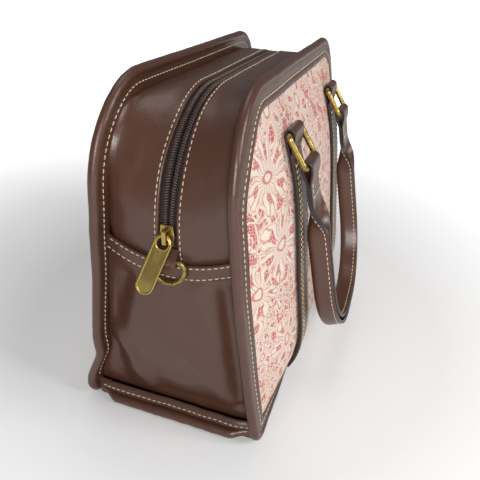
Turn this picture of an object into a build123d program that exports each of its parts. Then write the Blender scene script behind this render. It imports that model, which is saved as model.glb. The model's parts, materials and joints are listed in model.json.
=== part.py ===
from build123d import *
import math
import os

os.makedirs("parts", exist_ok=True)

# A bowling handbag standing on its base. X runs along the bag, the zip's closed end at -X,
# -Y is the front, Z is up and the origin is the middle of the base on the floor.

# Body, measured to the centreline of the rolled edge
body_length = 304.0
body_height = 243.8
base_half_depth = 65.4
shoulder_half_depth = 45.0
top_half_depth = 40.0
panel_shoulder_radius = 66.0
panel_corner_radius = 10.0

# The filled panels stand out between their seams
panel_bulge = 20.0
bulge_peak_height = 88.0
bulge_margin = 8.0
bulge_foot = 9.0
bulge_flatness = 4
bulge_fade = 1.2
skin_columns = 20
skin_rows = 16
skin_reach = 12.0
skin_tolerance = 0.02

# Leather and cloth
panel_thickness = 1.5
leather_thickness = 1.6
binding_thickness = 1.2
binding_width = 13.0
roll_radius = 3.8
lining_thickness = 0.6
board_thickness = 2.4
board_margin = 3.0
layer_gap = 0.2
end_roll_gap = 1.0

# Gusset, the strip between the panels
gusset_inset = 8.0
zip_arch_radius = 77.0
hem_drop = 5.3
hem_sag = 15.0
hem_half_span = 56.0
hem_width = 12.0
hem_overlap = 6.0
hem_thickness = 1.4

# Zip
zip_opening = 11.6
row_straight = 8.2
tape_tail = 14.6
tape_width = 13.0
tape_thickness = 0.8
row_gap = 1.1
tooth_pitch = 3.2
tooth_length = 3.2
tooth_height = 1.9
tooth_neck = 1.3
tooth_head = 1.9
stop_length = 3.0
stop_height = 1.4
lining_slot = 18.0

# Zip slider and its pull
slider_length = 14.0
slider_head_width = 8.2
slider_waist_width = 10.0
slider_tail_width = 7.0
slider_plate = 1.1
slider_clearance = 0.35
slider_back_clearance = 0.7
slider_web = 0.7
bridge_length = 10.0
bridge_height = 4.6
bridge_width = 2.6
bridge_bar = 1.45
pull_width = 12.0
pull_length = 36.0
pull_thickness = 1.6
pull_hole_radius = 3.6
pull_eye_bar = 2.4
pull_tilt = 20.0
pull_sideways = 18.0
pull_rim = 0.9
pull_recess = 0.3

# D-rings at the ends and their leather tabs
d_ring_wire = 1.75
d_ring_radius = 12.25
d_ring_leg = 5.0
d_ring_drop = 8.6
tab_width = 15.0
tab_leather = 1.4
tab_rise = 7.0
loop_clearance = 0.3

# Handle straps, rings and handles
strap_spacing = 140.0
strap_width = 26.0
strap_thickness = 3.0
strap_loop_leather = 1.6
ring_wire = 2.0
ring_drop = 33.0
ring_span = 24.0
ring_side_clearance = 0.8
ring_lean = 33.0
ring_slope_allowance = 2.0
strap_tail = 14.0
handle_lean = 12.0
handle_foot = 36.0
handle_flat_length = 24.0
handle_fold_length = 34.0
handle_flat_thickness = 3.6
handle_depth = 17.0
handle_spine_radius = 5.6
handle_edge_radius = 2.2
handle_corner_radius = 58.0
handle_end_leather = 1.6
handle_loop_length = 13.0

half_length = body_length / 2
shoulder_height = body_height - panel_shoulder_radius
corner_height = roll_radius + panel_corner_radius
gusset_half_length = half_length - gusset_inset
gusset_top = body_height - gusset_inset
arch_centre_x = gusset_half_length - zip_arch_radius
arch_height = gusset_top - zip_arch_radius
hem_side_height = arch_height - hem_drop
row_end_height = arch_height - row_straight
tape_end_height = row_end_height - tape_tail
d_ring_height = row_end_height - d_ring_drop
tab_top_height = d_ring_height + tab_rise
ring_top_height = body_height - ring_drop
far = 2 * body_length


# Side curve of the rolled edge: straight above the shoulder, one arc below it
top_slope = (top_half_depth - shoulder_half_depth) / panel_shoulder_radius
slope_length = math.hypot(top_slope, 1)
run_y = base_half_depth - shoulder_half_depth
run_z = corner_height - shoulder_height
turn = abs(-top_slope * run_z + run_y) / slope_length
edge_radius = (run_y**2 + run_z**2) / (2 * turn)
edge_centre_y = shoulder_half_depth + edge_radius / slope_length
edge_centre_z = shoulder_height - edge_radius * top_slope / slope_length
base_slope = -(corner_height - edge_centre_z) / (base_half_depth - edge_centre_y)


def edge_depth(z):
    """Half depth of the bag at the rolled edge, at height z."""
    if z > shoulder_height:
        return shoulder_half_depth + top_slope * (z - shoulder_height)
    if z < corner_height:
        return base_half_depth + base_slope * (z - corner_height)
    return edge_centre_y - math.sqrt(edge_radius**2 - (z - edge_centre_z) ** 2)


def bulge(x, z):
    """How far a filled panel stands out of the plane of its seam."""
    across = min(1.0, abs(x) / (half_length - bulge_margin))
    if z > bulge_peak_height:
        up = (z - bulge_peak_height) / (body_height - bulge_margin - bulge_peak_height)
    else:
        up = (bulge_peak_height - z) / (bulge_peak_height - bulge_foot)
    up = min(1.0, up)
    return panel_bulge * ((1 - across**bulge_flatness) * (1 - up**bulge_flatness)) ** bulge_fade


def panel_depth(x, z):
    """Half depth of the inner face of a panel."""
    return edge_depth(z) + bulge(x, z)


def skin(out):
    """The front panel's surface, shifted outwards, as one smooth face past the outline."""
    points = []
    for i in range(skin_columns + 1):
        x = (half_length + skin_reach) * (2 * i / skin_columns - 1)
        column = []
        for k in range(skin_rows + 1):
            z = -skin_reach + (body_height + 2 * skin_reach) * k / skin_rows
            column.append(Vector(x, -panel_depth(x, z) - out, z))
        points.append(column)
    return Face.make_surface_from_array_of_points(points, tol=skin_tolerance)


def arch_outline(half, foot, top, shoulder, corner):
    """A closed outline with round shoulders and small round bottom corners."""
    with BuildLine() as line:
        FilletPolyline(
            (-half, foot), (-half, top), (half, top), (half, foot),
            radius=[shoulder, shoulder], close=False,
        )
        Line((half, foot), (-half, foot))
    with BuildSketch() as sketch:
        make_face(line.line)
        if corner > 0:
            fillet(sketch.vertices().group_by(Axis.Y)[0], corner)
    return sketch.sketch


def panel_outline(inset):
    return arch_outline(
        half_length - inset, roll_radius + inset, body_height - inset,
        panel_shoulder_radius - inset, max(panel_corner_radius - inset, roll_radius / 4),
    )


def gusset_outline(inset, foot):
    return arch_outline(
        gusset_half_length - inset, foot, gusset_top - inset, zip_arch_radius - inset, 0
    )


def side_profile(inset, foot, top):
    """The bag's section across its length: both edges curve in towards the top."""
    front = [(-edge_depth(z) + inset, z) for z in (foot, corner_height, shoulder_height, top)]
    mid_z = (corner_height + shoulder_height) / 2
    mid = (-edge_depth(mid_z) + inset, mid_z)
    with BuildLine() as line:
        Line(front[0], front[1])
        ThreePointArc(front[1], mid, front[2])
        Line(front[2], front[3])
        mirror(about=Plane.YZ)
        Line(front[0], (-front[0][0], front[0][1]))
        Line(front[3], (-front[3][0], front[3][1]))
    return make_face(line.line, mode=Mode.PRIVATE)


def rear_of(part):
    return mirror(part, about=Plane.XZ, mode=Mode.PRIVATE)


def far_end_of(part):
    return mirror(part, about=Plane.YZ, mode=Mode.PRIVATE)


def save(builder, name):
    builder.part.label = name
    export_step(builder.part, f"parts/{name}.step")


# Everything outside the panels' inner faces, to trim the gusset against
with BuildPart() as outside:
    extrude(skin(-layer_gap), amount=far, dir=(0, -1, 0))
    mirror(about=Plane.XZ)


# Printed cloth panels
panel_edge = roll_radius + layer_gap
with BuildPart() as front_panel:
    with BuildSketch(Plane.XZ):
        add(panel_outline(panel_edge))
    extrude(amount=far / 2, both=True)
    extrude(skin(0), amount=panel_thickness, dir=(0, -1, 0), mode=Mode.INTERSECT)
save(front_panel, "front_panel")

with BuildPart() as rear_panel:
    add(rear_of(front_panel.part))
save(rear_panel, "rear_panel")


# Binding: a rolled edge and two leaves that hold the seam of panel and gusset
def seam_point(x, z):
    return Vector(x, -edge_depth(z), z)


def roll_path():
    """The left half of the front roll, from the middle of the base to the middle of the top."""
    bend = 1 - math.sqrt(0.5)
    corner = panel_corner_radius
    shoulder = panel_shoulder_radius
    mid_z = (corner_height + shoulder_height) / 2
    with BuildLine() as line:
        Line(seam_point(0, roll_radius), seam_point(-half_length + corner, roll_radius))
        ThreePointArc(
            seam_point(-half_length + corner, roll_radius),
            seam_point(-half_length + corner * bend, roll_radius + corner * bend),
            seam_point(-half_length, corner_height),
        )
        ThreePointArc(
            seam_point(-half_length, corner_height),
            seam_point(-half_length, mid_z),
            seam_point(-half_length, shoulder_height),
        )
        ThreePointArc(
            seam_point(-half_length, shoulder_height),
            seam_point(-half_length + shoulder * bend, body_height - shoulder * bend),
            seam_point(-half_length + shoulder, body_height),
        )
        Line(seam_point(-half_length + shoulder, body_height), seam_point(0, body_height))
    return line.line


with BuildPart() as front_roll:
    path = roll_path()
    with BuildSketch(Plane(origin=path @ 0, x_dir=(0, 1, 0), z_dir=path % 0)):
        Circle(roll_radius)
    sweep(path=path)
    mirror(about=Plane.YZ)

with BuildPart() as front_leaf:
    with BuildSketch(Plane.XZ):
        add(panel_outline(0))
        add(panel_outline(binding_width), mode=Mode.SUBTRACT)
    extrude(amount=far / 2, both=True)
    extrude(
        skin(panel_thickness + layer_gap / 2), amount=binding_thickness, dir=(0, -1, 0),
        mode=Mode.INTERSECT,
    )

with BuildPart() as gusset_leaf:
    with BuildSketch(Plane.XZ):
        add(panel_outline(0))
        add(gusset_outline(-layer_gap, 0), mode=Mode.SUBTRACT)
    extrude(amount=far / 2, both=True)
    with BuildSketch(Plane.YZ):
        add(side_profile(layer_gap, -corner_height, body_height + corner_height))
        add(
            side_profile(layer_gap + binding_thickness, -far, far), mode=Mode.SUBTRACT
        )
    extrude(amount=far / 2, both=True, mode=Mode.INTERSECT)
    split(bisect_by=Plane.XZ, keep=Keep.TOP)

with BuildPart() as front_binding:
    add(front_roll.part)
    add(front_leaf.part)
    add(gusset_leaf.part)
save(front_binding, "front_binding")

with BuildPart() as rear_binding:
    add(rear_of(front_binding.part))
save(rear_binding, "rear_binding")


# Base, its stiffening board and the bound seams across both ends
base_half_depth_inside = edge_depth(roll_radius) - roll_radius - layer_gap
with BuildPart() as base_panel:
    Box(
        2 * (half_length - roll_radius - layer_gap), 2 * base_half_depth_inside, leather_thickness,
        align=(Align.CENTER, Align.CENTER, Align.MIN),
    )
save(base_panel, "base_panel")

board_foot = leather_thickness + layer_gap / 2
with BuildPart() as base_board:
    with BuildSketch(Plane.XY.offset(board_foot)):
        RectangleRounded(
            2 * (gusset_half_length - leather_thickness - board_margin),
            2 * (base_half_depth_inside - board_margin),
            board_margin,
        )
    extrude(amount=board_thickness)
save(base_board, "base_board")

end_leaf_width = gusset_inset - layer_gap
with BuildPart() as end_binding_left:
    with BuildSketch(Plane.XZ):
        with Locations((-half_length, roll_radius)):
            Circle(roll_radius)
        with Locations((-half_length + end_leaf_width / 2, board_foot + binding_thickness / 2)):
            Rectangle(end_leaf_width, binding_thickness)
    extrude(amount=base_half_depth_inside - end_roll_gap, both=True)
save(end_binding_left, "end_binding_left")

with BuildPart() as end_binding_right:
    add(far_end_of(end_binding_left.part))
save(end_binding_right, "end_binding_right")


# Gusset: two halves over the top, either side of the zip, and a lower wall at each end
def hem_area(drop, foot):
    """The end's face from foot up to a sagging line, drop below the hem's edge."""
    side = hem_side_height - drop
    reach = hem_half_span + base_half_depth
    with BuildLine() as line:
        Line((-reach, foot), (-reach, side))
        Line((-reach, side), (-hem_half_span, side))
        ThreePointArc((-hem_half_span, side), (0, side - hem_sag), (hem_half_span, side))
        Line((hem_half_span, side), (reach, side))
        Line((reach, side), (reach, foot))
        Line((reach, foot), (-reach, foot))
    return make_face(line.line, mode=Mode.PRIVATE)


roll_top = 2 * roll_radius + layer_gap
with BuildPart() as end_gusset_left:
    with BuildSketch(Plane.YZ.offset(-gusset_half_length)):
        add(hem_area(hem_overlap, leather_thickness + layer_gap))
    extrude(amount=leather_thickness)
    with BuildSketch(Plane.YZ.offset(-gusset_half_length)):
        add(hem_area(0, 0))
        add(hem_area(hem_width, -far), mode=Mode.SUBTRACT)
    extrude(amount=-hem_thickness)
    add(outside.part, mode=Mode.SUBTRACT)
    with BuildSketch(Plane.YZ):
        for side in (-1, 1):
            with Locations((side * (base_half_depth_inside + far / 2), roll_top / 2)):
                Rectangle(far, roll_top)
    extrude(amount=far, both=True, mode=Mode.SUBTRACT)
    add(front_binding.part, mode=Mode.SUBTRACT)
    add(rear_binding.part, mode=Mode.SUBTRACT)
save(end_gusset_left, "end_gusset_left")

with BuildPart() as end_gusset_right:
    add(far_end_of(end_gusset_left.part))
save(end_gusset_right, "end_gusset_right")

with BuildPart() as zip_gusset_front:
    with BuildSketch(Plane.XZ.offset(zip_opening / 2)):
        add(gusset_outline(0, 0))
        add(gusset_outline(leather_thickness, -far), mode=Mode.SUBTRACT)
    extrude(amount=far / 2)
    add(outside.part, mode=Mode.SUBTRACT)
    with BuildSketch(Plane.YZ):
        add(hem_area(hem_overlap - layer_gap, -far))
    extrude(amount=far, both=True, mode=Mode.SUBTRACT)
save(zip_gusset_front, "zip_gusset_front")

with BuildPart() as zip_gusset_rear:
    add(rear_of(zip_gusset_front.part))
save(zip_gusset_rear, "zip_gusset_rear")

lining_inset = leather_thickness + tape_thickness + 2 * layer_gap
lining_foot = board_foot + board_thickness + layer_gap
with BuildPart() as lining:
    with BuildSketch(Plane.XZ):
        add(gusset_outline(lining_inset, lining_foot))
    extrude(amount=far / 2, both=True)
    with BuildSketch(Plane.YZ):
        add(side_profile(panel_edge, -corner_height, body_height))
    extrude(amount=far / 2, both=True, mode=Mode.INTERSECT)
    with BuildSketch(Plane.XZ):
        add(gusset_outline(lining_inset + lining_thickness, lining_foot + lining_thickness))
    inner = extrude(amount=far / 2, both=True, mode=Mode.PRIVATE)
    with BuildSketch(Plane.YZ):
        add(side_profile(panel_edge + lining_thickness, -corner_height, body_height))
    inner_sides = extrude(amount=far / 2, both=True, mode=Mode.PRIVATE)
    add(inner & inner_sides, mode=Mode.SUBTRACT)
    with BuildSketch(Plane.YZ):
        with Locations((0, (tape_end_height + body_height) / 2)):
            Rectangle(lining_slot, body_height - tape_end_height)
    extrude(amount=far, both=True, mode=Mode.SUBTRACT)
save(lining, "lining")


# Zip: two tapes, two rows of coil turns, stops, slider and pull
tape_inset = leather_thickness + layer_gap / 2
with BuildPart() as zip_tape_front:
    with BuildSketch(Plane.XZ.offset(row_gap / 2)):
        add(gusset_outline(tape_inset, tape_end_height))
        add(gusset_outline(tape_inset + tape_thickness, -far), mode=Mode.SUBTRACT)
    extrude(amount=tape_width)
save(zip_tape_front, "zip_tape_front")

with BuildPart() as zip_tape_rear:
    add(rear_of(zip_tape_front.part))
save(zip_tape_rear, "zip_tape_rear")

row_radius = zip_arch_radius - tape_inset
row_arc = row_radius * math.pi / 2
row_top = 2 * arch_centre_x
row_length = 2 * row_straight + 2 * row_arc + row_top


def zip_place(s):
    """A plane on the tape, s along it from the near end: x along the zip, z outwards."""
    arc_start = row_straight
    arc_end = row_straight + row_arc
    if s > row_length / 2:
        near = zip_place(row_length - s)
        x, y, z = near.origin
        normal = near.z_dir
        along = near.x_dir
        return Plane((-x, y, z), x_dir=(along.X, 0, -along.Z), z_dir=(-normal.X, 0, normal.Z))
    if s < arc_start:
        angle = 0.0
        origin = (-arch_centre_x - row_radius, 0, row_end_height + s)
    else:
        angle = min(s - arc_start, row_arc) / row_radius
        origin = (
            -arch_centre_x - row_radius * math.cos(angle) + max(0.0, s - arc_end), 0,
            arch_height + row_radius * math.sin(angle),
        )
    return Plane(
        origin, x_dir=(math.sin(angle), 0, math.cos(angle)),
        z_dir=(-math.cos(angle), 0, math.sin(angle)),
    )


inner_end = -row_gap / 2
outer_end = inner_end - tooth_length
tooth_belly = inner_end - tooth_length / 3
with BuildPart() as tooth:
    with BuildSketch():
        Polygon(
            (-tooth_neck / 2, outer_end), (tooth_neck / 2, outer_end), (tooth_head / 2, tooth_belly),
            (tooth_neck / 2, inner_end), (-tooth_neck / 2, inner_end), (-tooth_head / 2, tooth_belly),
            align=None,
        )
    extrude(amount=tooth_height)

tooth_count = int((row_length - tooth_head) / tooth_pitch)
row_margin = (row_length - tooth_count * tooth_pitch) / 2
with BuildPart() as zip_teeth_front:
    add([
        tooth.part.moved(zip_place(row_margin + (i + 0.5) * tooth_pitch).location)
        for i in range(tooth_count)
    ])
save(zip_teeth_front, "zip_teeth_front")

with BuildPart() as zip_teeth_rear:
    add(rear_of(zip_teeth_front.part))
save(zip_teeth_rear, "zip_teeth_rear")

stop_across = 2 * tooth_length + row_gap
with BuildPart() as zip_stop_left:
    stop_x = -gusset_half_length + tape_inset
    stop_z = row_end_height - stop_length / 2 - tooth_pitch / 2
    with BuildSketch(Plane.YZ.offset(stop_x)):
        for side in (-1, 1):
            with Locations((side * (row_gap + tooth_length) / 2, stop_z)):
                Rectangle(tooth_length, stop_length)
    extrude(amount=-stop_height)
save(zip_stop_left, "zip_stop_left")

with BuildPart() as zip_stop_right:
    with BuildSketch(Plane.YZ.offset(-stop_x)):
        with Locations((0, stop_z)):
            Rectangle(stop_across, stop_length)
    extrude(amount=stop_height)
save(zip_stop_right, "zip_stop_right")

# The closed slider stands where the zip starts to turn over the bag's shoulder
slider_plane = zip_place(row_straight)
slider_section = Plane(
    slider_plane.origin, x_dir=slider_plane.x_dir, z_dir=-slider_plane.y_dir
)
plate_foot = tooth_height + slider_clearance
plate_top = plate_foot + slider_plate
back_top = -tape_thickness - slider_back_clearance


def slider_outline():
    """The plate's shield shape: narrow at the closed side, widest at its waist."""
    half = slider_length / 2
    return Polygon(
        (half, slider_head_width / 2), (0, slider_waist_width / 2), (-half, slider_tail_width / 2),
        (-half, -slider_tail_width / 2), (0, -slider_waist_width / 2), (half, -slider_head_width / 2),
        align=None,
    )


with BuildPart() as zip_slider:
    with BuildSketch(slider_plane.offset(slider_clearance)):
        slider_outline()
    extrude(amount=plate_top - slider_clearance)
    channel = 2 * tooth_length + row_gap + 2 * slider_clearance
    with BuildSketch(slider_plane):
        Rectangle(2 * slider_length, channel)
    extrude(amount=plate_foot, mode=Mode.SUBTRACT)
    fillet(zip_slider.edges().filter_by(GeomType.LINE).group_by(Axis.X)[0], slider_plate / 3)
    with BuildSketch(slider_plane.offset(back_top)):
        slider_outline()
    extrude(amount=-slider_plate)
    with BuildSketch(slider_plane.offset(back_top)):
        Rectangle(slider_length / 2, slider_web)
    extrude(amount=plate_foot - back_top)
    with BuildSketch(slider_section):
        with Locations((0, plate_top)):
            Rectangle(bridge_length, bridge_height, align=(Align.CENTER, Align.MIN))
            Rectangle(
                bridge_length - 2 * bridge_bar, bridge_height - bridge_bar,
                align=(Align.CENTER, Align.MIN), mode=Mode.SUBTRACT,
            )
    extrude(amount=bridge_width / 2, both=True)
    fillet(zip_slider.edges().filter_by(Axis.Y).sort_by(Axis.X)[:2], bridge_bar / 2)
save(zip_slider, "zip_slider")

# The pull hangs by its eye in the bridge, swung to the rear and propped off the leather
swing = math.radians(pull_sideways)
prop = math.radians(pull_tilt)
pull_hinge_height = plate_top + (bridge_height - bridge_bar) / 2
pull_hinge = slider_plane.origin + slider_plane.z_dir * pull_hinge_height
pull_axis = Vector(0, math.cos(swing), math.sin(swing))
pull_down = Vector(-math.sin(prop), math.sin(swing) * math.cos(prop), -math.cos(swing) * math.cos(prop))
pull_plane = Plane(pull_hinge, x_dir=pull_axis, z_dir=pull_down.cross(pull_axis))
eye_centre = -(pull_hole_radius + pull_eye_bar / 2)
eye_radius = pull_hole_radius + pull_eye_bar
with BuildPart() as zip_pull:
    with BuildSketch(pull_plane) as pull_face:
        with Locations((0, eye_centre)):
            Circle(eye_radius)
        with Locations((0, pull_width / 2 - pull_length)):
            Circle(pull_width / 2)
        make_hull()
        with Locations((0, eye_centre)):
            Circle(pull_hole_radius, mode=Mode.SUBTRACT)
    extrude(amount=pull_thickness / 2, both=True)
    with BuildSketch(pull_plane.offset(pull_thickness / 2)):
        with Locations((0, 2 * eye_centre - pull_rim)):
            SlotCenterPoint(
                (0, (pull_width + eye_centre) / 2 - pull_length / 2),
                (0, pull_width / 2 - pull_length - eye_centre * 2 + pull_rim),
                pull_width - 2 * pull_rim,
            )
    extrude(amount=-pull_recess, mode=Mode.SUBTRACT)
save(zip_pull, "zip_pull")


# D-rings at both ends, each in a folded leather tab above the hem
tab_inner = d_ring_wire + loop_clearance
tab_outer = tab_inner + tab_leather
d_ring_x = -gusset_half_length - tab_outer - layer_gap / 2
d_ring_plane = Plane((d_ring_x, 0, d_ring_height), x_dir=(0, 1, 0), z_dir=(1, 0, 0))
with BuildPart() as d_ring_left:
    with BuildLine(d_ring_plane) as d_path:
        FilletPolyline(
            (0, 0), (d_ring_radius, 0), (d_ring_radius, -d_ring_leg), radius=2 * d_ring_wire
        )
        CenterArc((0, -d_ring_leg), d_ring_radius, 0, -90)
    with BuildSketch(Plane(d_path.line @ 0, z_dir=d_path.line % 0)):
        Circle(d_ring_wire)
    sweep(path=d_path.line)
    mirror(about=Plane.XZ)
save(d_ring_left, "d_ring_left")

with BuildPart() as d_ring_right:
    add(far_end_of(d_ring_left.part))
save(d_ring_right, "d_ring_right")

with BuildPart() as d_ring_tab_left:
    with BuildSketch(Plane.XZ):
        with Locations((d_ring_x, d_ring_height)):
            Circle(tab_outer)
        with Locations((-gusset_half_length - (tab_leather + layer_gap) / 2, tab_top_height)):
            Circle(tab_leather / 2)
        make_hull()
        with Locations((d_ring_x, d_ring_height)):
            Circle(tab_inner, mode=Mode.SUBTRACT)
    extrude(amount=tab_width / 2, both=True)
save(d_ring_tab_left, "d_ring_tab_left")

with BuildPart() as d_ring_tab_right:
    add(far_end_of(d_ring_tab_left.part))
save(d_ring_tab_right, "d_ring_tab_right")


# Handle straps: sewn down the panel, folded over a ring at the top
strap_x = strap_spacing / 2
strap_foot = roll_radius + binding_width + layer_gap
strap_out = panel_thickness + layer_gap / 2
strap_top = ring_top_height - strap_tail
strap_inner = ring_wire + loop_clearance
strap_outer = strap_inner + strap_loop_leather
panel_fall = (panel_depth(strap_x, strap_top) - panel_depth(strap_x, ring_top_height)) / strap_tail
ring_y = -(
    panel_depth(strap_x, ring_top_height) + panel_thickness + layer_gap
    + strap_outer * math.hypot(1, ring_slope_allowance * panel_fall)
)
strap_top_y = -(panel_depth(strap_x, strap_top) + strap_out + strap_thickness / 2)
strap_skin = skin(strap_out)


def strap(x):
    with BuildPart() as piece:
        with BuildSketch(Plane.XZ):
            with Locations((x, strap_foot)):
                Rectangle(strap_width, strap_top - strap_foot, align=(Align.CENTER, Align.MIN))
        extrude(amount=far / 2, both=True)
        extrude(strap_skin, amount=strap_thickness, dir=(0, -1, 0), mode=Mode.INTERSECT)
        with BuildSketch(Plane.YZ.offset(x)):
            with Locations((ring_y, ring_top_height)):
                Circle(strap_outer)
            with Locations((strap_top_y, strap_top)):
                Circle(strap_thickness / 2)
            make_hull()
            with Locations((ring_y, ring_top_height)):
                Circle(strap_inner, mode=Mode.SUBTRACT)
        extrude(amount=strap_width / 2, both=True)
        extrude(strap_skin, amount=panel_bulge, dir=(0, 1, 0), mode=Mode.SUBTRACT)
    return piece.part


# Handle rings, one in each strap
lean = math.radians(ring_lean)
ring_half_width = strap_width / 2 + ring_side_clearance + ring_wire
ring_corner_radius = ring_side_clearance + ring_wire
ring_low_y = ring_y - ring_span * math.sin(lean)
ring_low_z = ring_top_height - ring_span * math.cos(lean)


def handle_ring(x):
    ring_plane = Plane(
        (x, ring_y, ring_top_height), x_dir=(1, 0, 0), z_dir=(0, -math.cos(lean), math.sin(lean))
    )
    with BuildPart() as piece:
        with BuildLine(ring_plane) as ring_path:
            FilletPolyline(
                (0, 0), (ring_half_width, 0), (ring_half_width, -ring_span), (0, -ring_span),
                radius=ring_corner_radius,
            )
        with BuildSketch(Plane(ring_path.line @ 0, z_dir=ring_path.line % 0)):
            Circle(ring_wire)
        sweep(path=ring_path.line)
        mirror(about=Plane.YZ.offset(x))
    return piece.part


# Handle: flat ends folded over the rings, the rest folded lengthwise, edges outwards
fall = math.radians(handle_lean)
handle_drop = (ring_low_z - handle_foot) / math.cos(fall)
handle_plane = Plane(
    (0, ring_low_y, ring_low_z), x_dir=(1, 0, 0), z_dir=(0, -math.cos(fall), math.sin(fall))
)
handle_inner = ring_wire + loop_clearance
handle_outer = handle_inner + handle_end_leather


def leg_plane(down):
    """Across the left leg, that far below the ring: x along the bag, y outwards."""
    origin = handle_plane.from_local_coords((-strap_x, -down, 0))
    return Plane(origin, x_dir=(1, 0, 0), z_dir=-handle_plane.y_dir)


def leg_section(plane, spine, edge, depth, rounding):
    with BuildSketch(plane) as section:
        Polygon(
            (-spine / 2, -depth / 2), (spine / 2, -depth / 2), (edge / 2, depth / 2),
            (-edge / 2, depth / 2), align=None,
        )
        fillet(section.vertices(), rounding)
    return section.sketch


def folded_section(plane):
    return leg_section(
        plane, 2 * handle_spine_radius, 2 * handle_edge_radius, handle_depth,
        handle_edge_radius - layer_gap,
    )


handle_fold_end = handle_flat_length + handle_fold_length
with BuildPart() as front_handle:
    with BuildSketch(Plane.YZ.offset(-strap_x)):
        with Locations((ring_low_y, ring_low_z)):
            Circle(handle_outer)
        tail = handle_plane.from_local_coords((-strap_x, -handle_loop_length, 0))
        with Locations((tail.Y, tail.Z)):
            Circle(handle_flat_thickness / 2)
        make_hull()
        with Locations((ring_low_y, ring_low_z)):
            Circle(handle_inner, mode=Mode.SUBTRACT)
    extrude(amount=strap_width / 2, both=True)
    with BuildSketch(leg_plane(handle_loop_length)):
        Rectangle(strap_width, handle_flat_thickness)
    extrude(amount=handle_flat_length - handle_loop_length)
    loft([
        leg_section(
            leg_plane(handle_flat_length), strap_width, strap_width, handle_flat_thickness,
            handle_flat_thickness / 2 - layer_gap,
        ),
        folded_section(leg_plane(handle_fold_end)),
    ])
    with BuildLine(handle_plane) as handle_path:
        FilletPolyline(
            (-strap_x, -handle_fold_end), (-strap_x, -handle_drop), (0, -handle_drop),
            radius=handle_corner_radius,
        )
    sweep(sections=folded_section(leg_plane(handle_fold_end)), path=handle_path.line)
    mirror(about=Plane.YZ)
save(front_handle, "front_handle")

with BuildPart() as rear_handle:
    add(rear_of(front_handle.part))
save(rear_handle, "rear_handle")

for side_name, x in (("left", -strap_x), ("right", strap_x)):
    with BuildPart() as front_strap:
        add(strap(x))
    save(front_strap, f"front_strap_{side_name}")
    with BuildPart() as rear_strap:
        add(rear_of(front_strap.part))
    save(rear_strap, f"rear_strap_{side_name}")
    with BuildPart() as front_ring:
        add(handle_ring(x))
    save(front_ring, f"front_ring_{side_name}")
    with BuildPart() as rear_ring:
        add(rear_of(front_ring.part))
    save(rear_ring, f"rear_ring_{side_name}")
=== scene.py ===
import json
import math

import bpy
from mathutils import Matrix, Vector, noise


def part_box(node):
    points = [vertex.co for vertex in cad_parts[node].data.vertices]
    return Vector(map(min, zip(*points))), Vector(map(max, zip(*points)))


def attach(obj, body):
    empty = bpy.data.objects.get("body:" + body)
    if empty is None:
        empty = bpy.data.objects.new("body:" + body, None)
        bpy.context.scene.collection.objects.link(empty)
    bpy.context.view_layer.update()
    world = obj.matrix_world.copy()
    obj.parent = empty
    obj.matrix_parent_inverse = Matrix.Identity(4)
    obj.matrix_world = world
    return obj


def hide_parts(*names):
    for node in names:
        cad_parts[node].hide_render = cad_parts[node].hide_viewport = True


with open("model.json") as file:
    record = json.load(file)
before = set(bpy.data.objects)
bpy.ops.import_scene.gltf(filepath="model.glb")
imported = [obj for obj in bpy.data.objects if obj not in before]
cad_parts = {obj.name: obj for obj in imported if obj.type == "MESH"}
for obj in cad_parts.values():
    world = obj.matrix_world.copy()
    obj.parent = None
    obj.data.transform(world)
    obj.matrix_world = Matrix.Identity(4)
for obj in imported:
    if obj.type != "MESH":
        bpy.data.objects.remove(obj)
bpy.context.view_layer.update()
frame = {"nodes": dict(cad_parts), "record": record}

bl_info = {
    "name": "Arched handbag",
    "version": (1, 0, 0),
    "blender": (4, 5, 0),
    "location": "3D View > Sidebar > Handbag",
    "description": "Dresses the packed handbag with leather, lace cloth, stitching and a coil zip",
    "category": "Object",
}

MM = 0.001
binding_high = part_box("front_binding")[1]
tape_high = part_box("zip_tape_front")[1]

# Body, in mm, read off the frame where a node gives it
ROLL = 3.8
HALF_LENGTH = binding_high.x / MM - ROLL
TOP = binding_high.z / MM - ROLL
CORNER = 10.0
SHOULDER_X = 55.0
SHOULDER_Z = 69.0
BORDER = 13.0
FLANGE = 12.0
CLOTH = 1.5
CLOTH_INSET = 5.0
LEATHER = 1.6
LINING = 0.6
LINING_FOOT = 7.0

# Half depth at the rolled edge: heights between which it follows an arc, and its size there
EDGE_FOOT = 13.8
EDGE_SHOULDER = 177.8
FOOT_DEPTH = 65.4
SHOULDER_DEPTH = 45.0
FOOT_SLOPE = -0.171
SHOULDER_SLOPE = -5.0 / 66.0

# How the filled panels stand out, most at BULGE_Z, from a line BULGE_RIM inside the roll
BULGE = 20.0
BULGE_Z = 88.0
BULGE_RIM = 8.0
BULGE_FOOT = 9.0
BULGE_FLATNESS = 4
BULGE_FADE = 1.2

# Zip arch: the frame's slider turns about this centre
ARCH_X = 67.0
ARCH_Z = 158.8
TAPE_RADIUS = tape_high.z / MM - ARCH_Z
ZIP_HALF = 5.8
ZIP_FOOT = 150.6
ZIP_LIP = 2.7
GUSSET_FOOT = 128.0

# End walls: seams beside them, hem and base
WALL_GAP = 1.8
WALL_FOOT = 7.0
HEM_HIGH = 153.5
HEM_SAG = 15.0
HEM_SPAN = 56.0
HEM_WIDTH = 12.0
BASE_ROLL_HALF = 61.5
BASE_FLANGE_HALF = 63.2
BASE_STITCH_HALF = 61.0
BASE_STATIONS = 60

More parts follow.
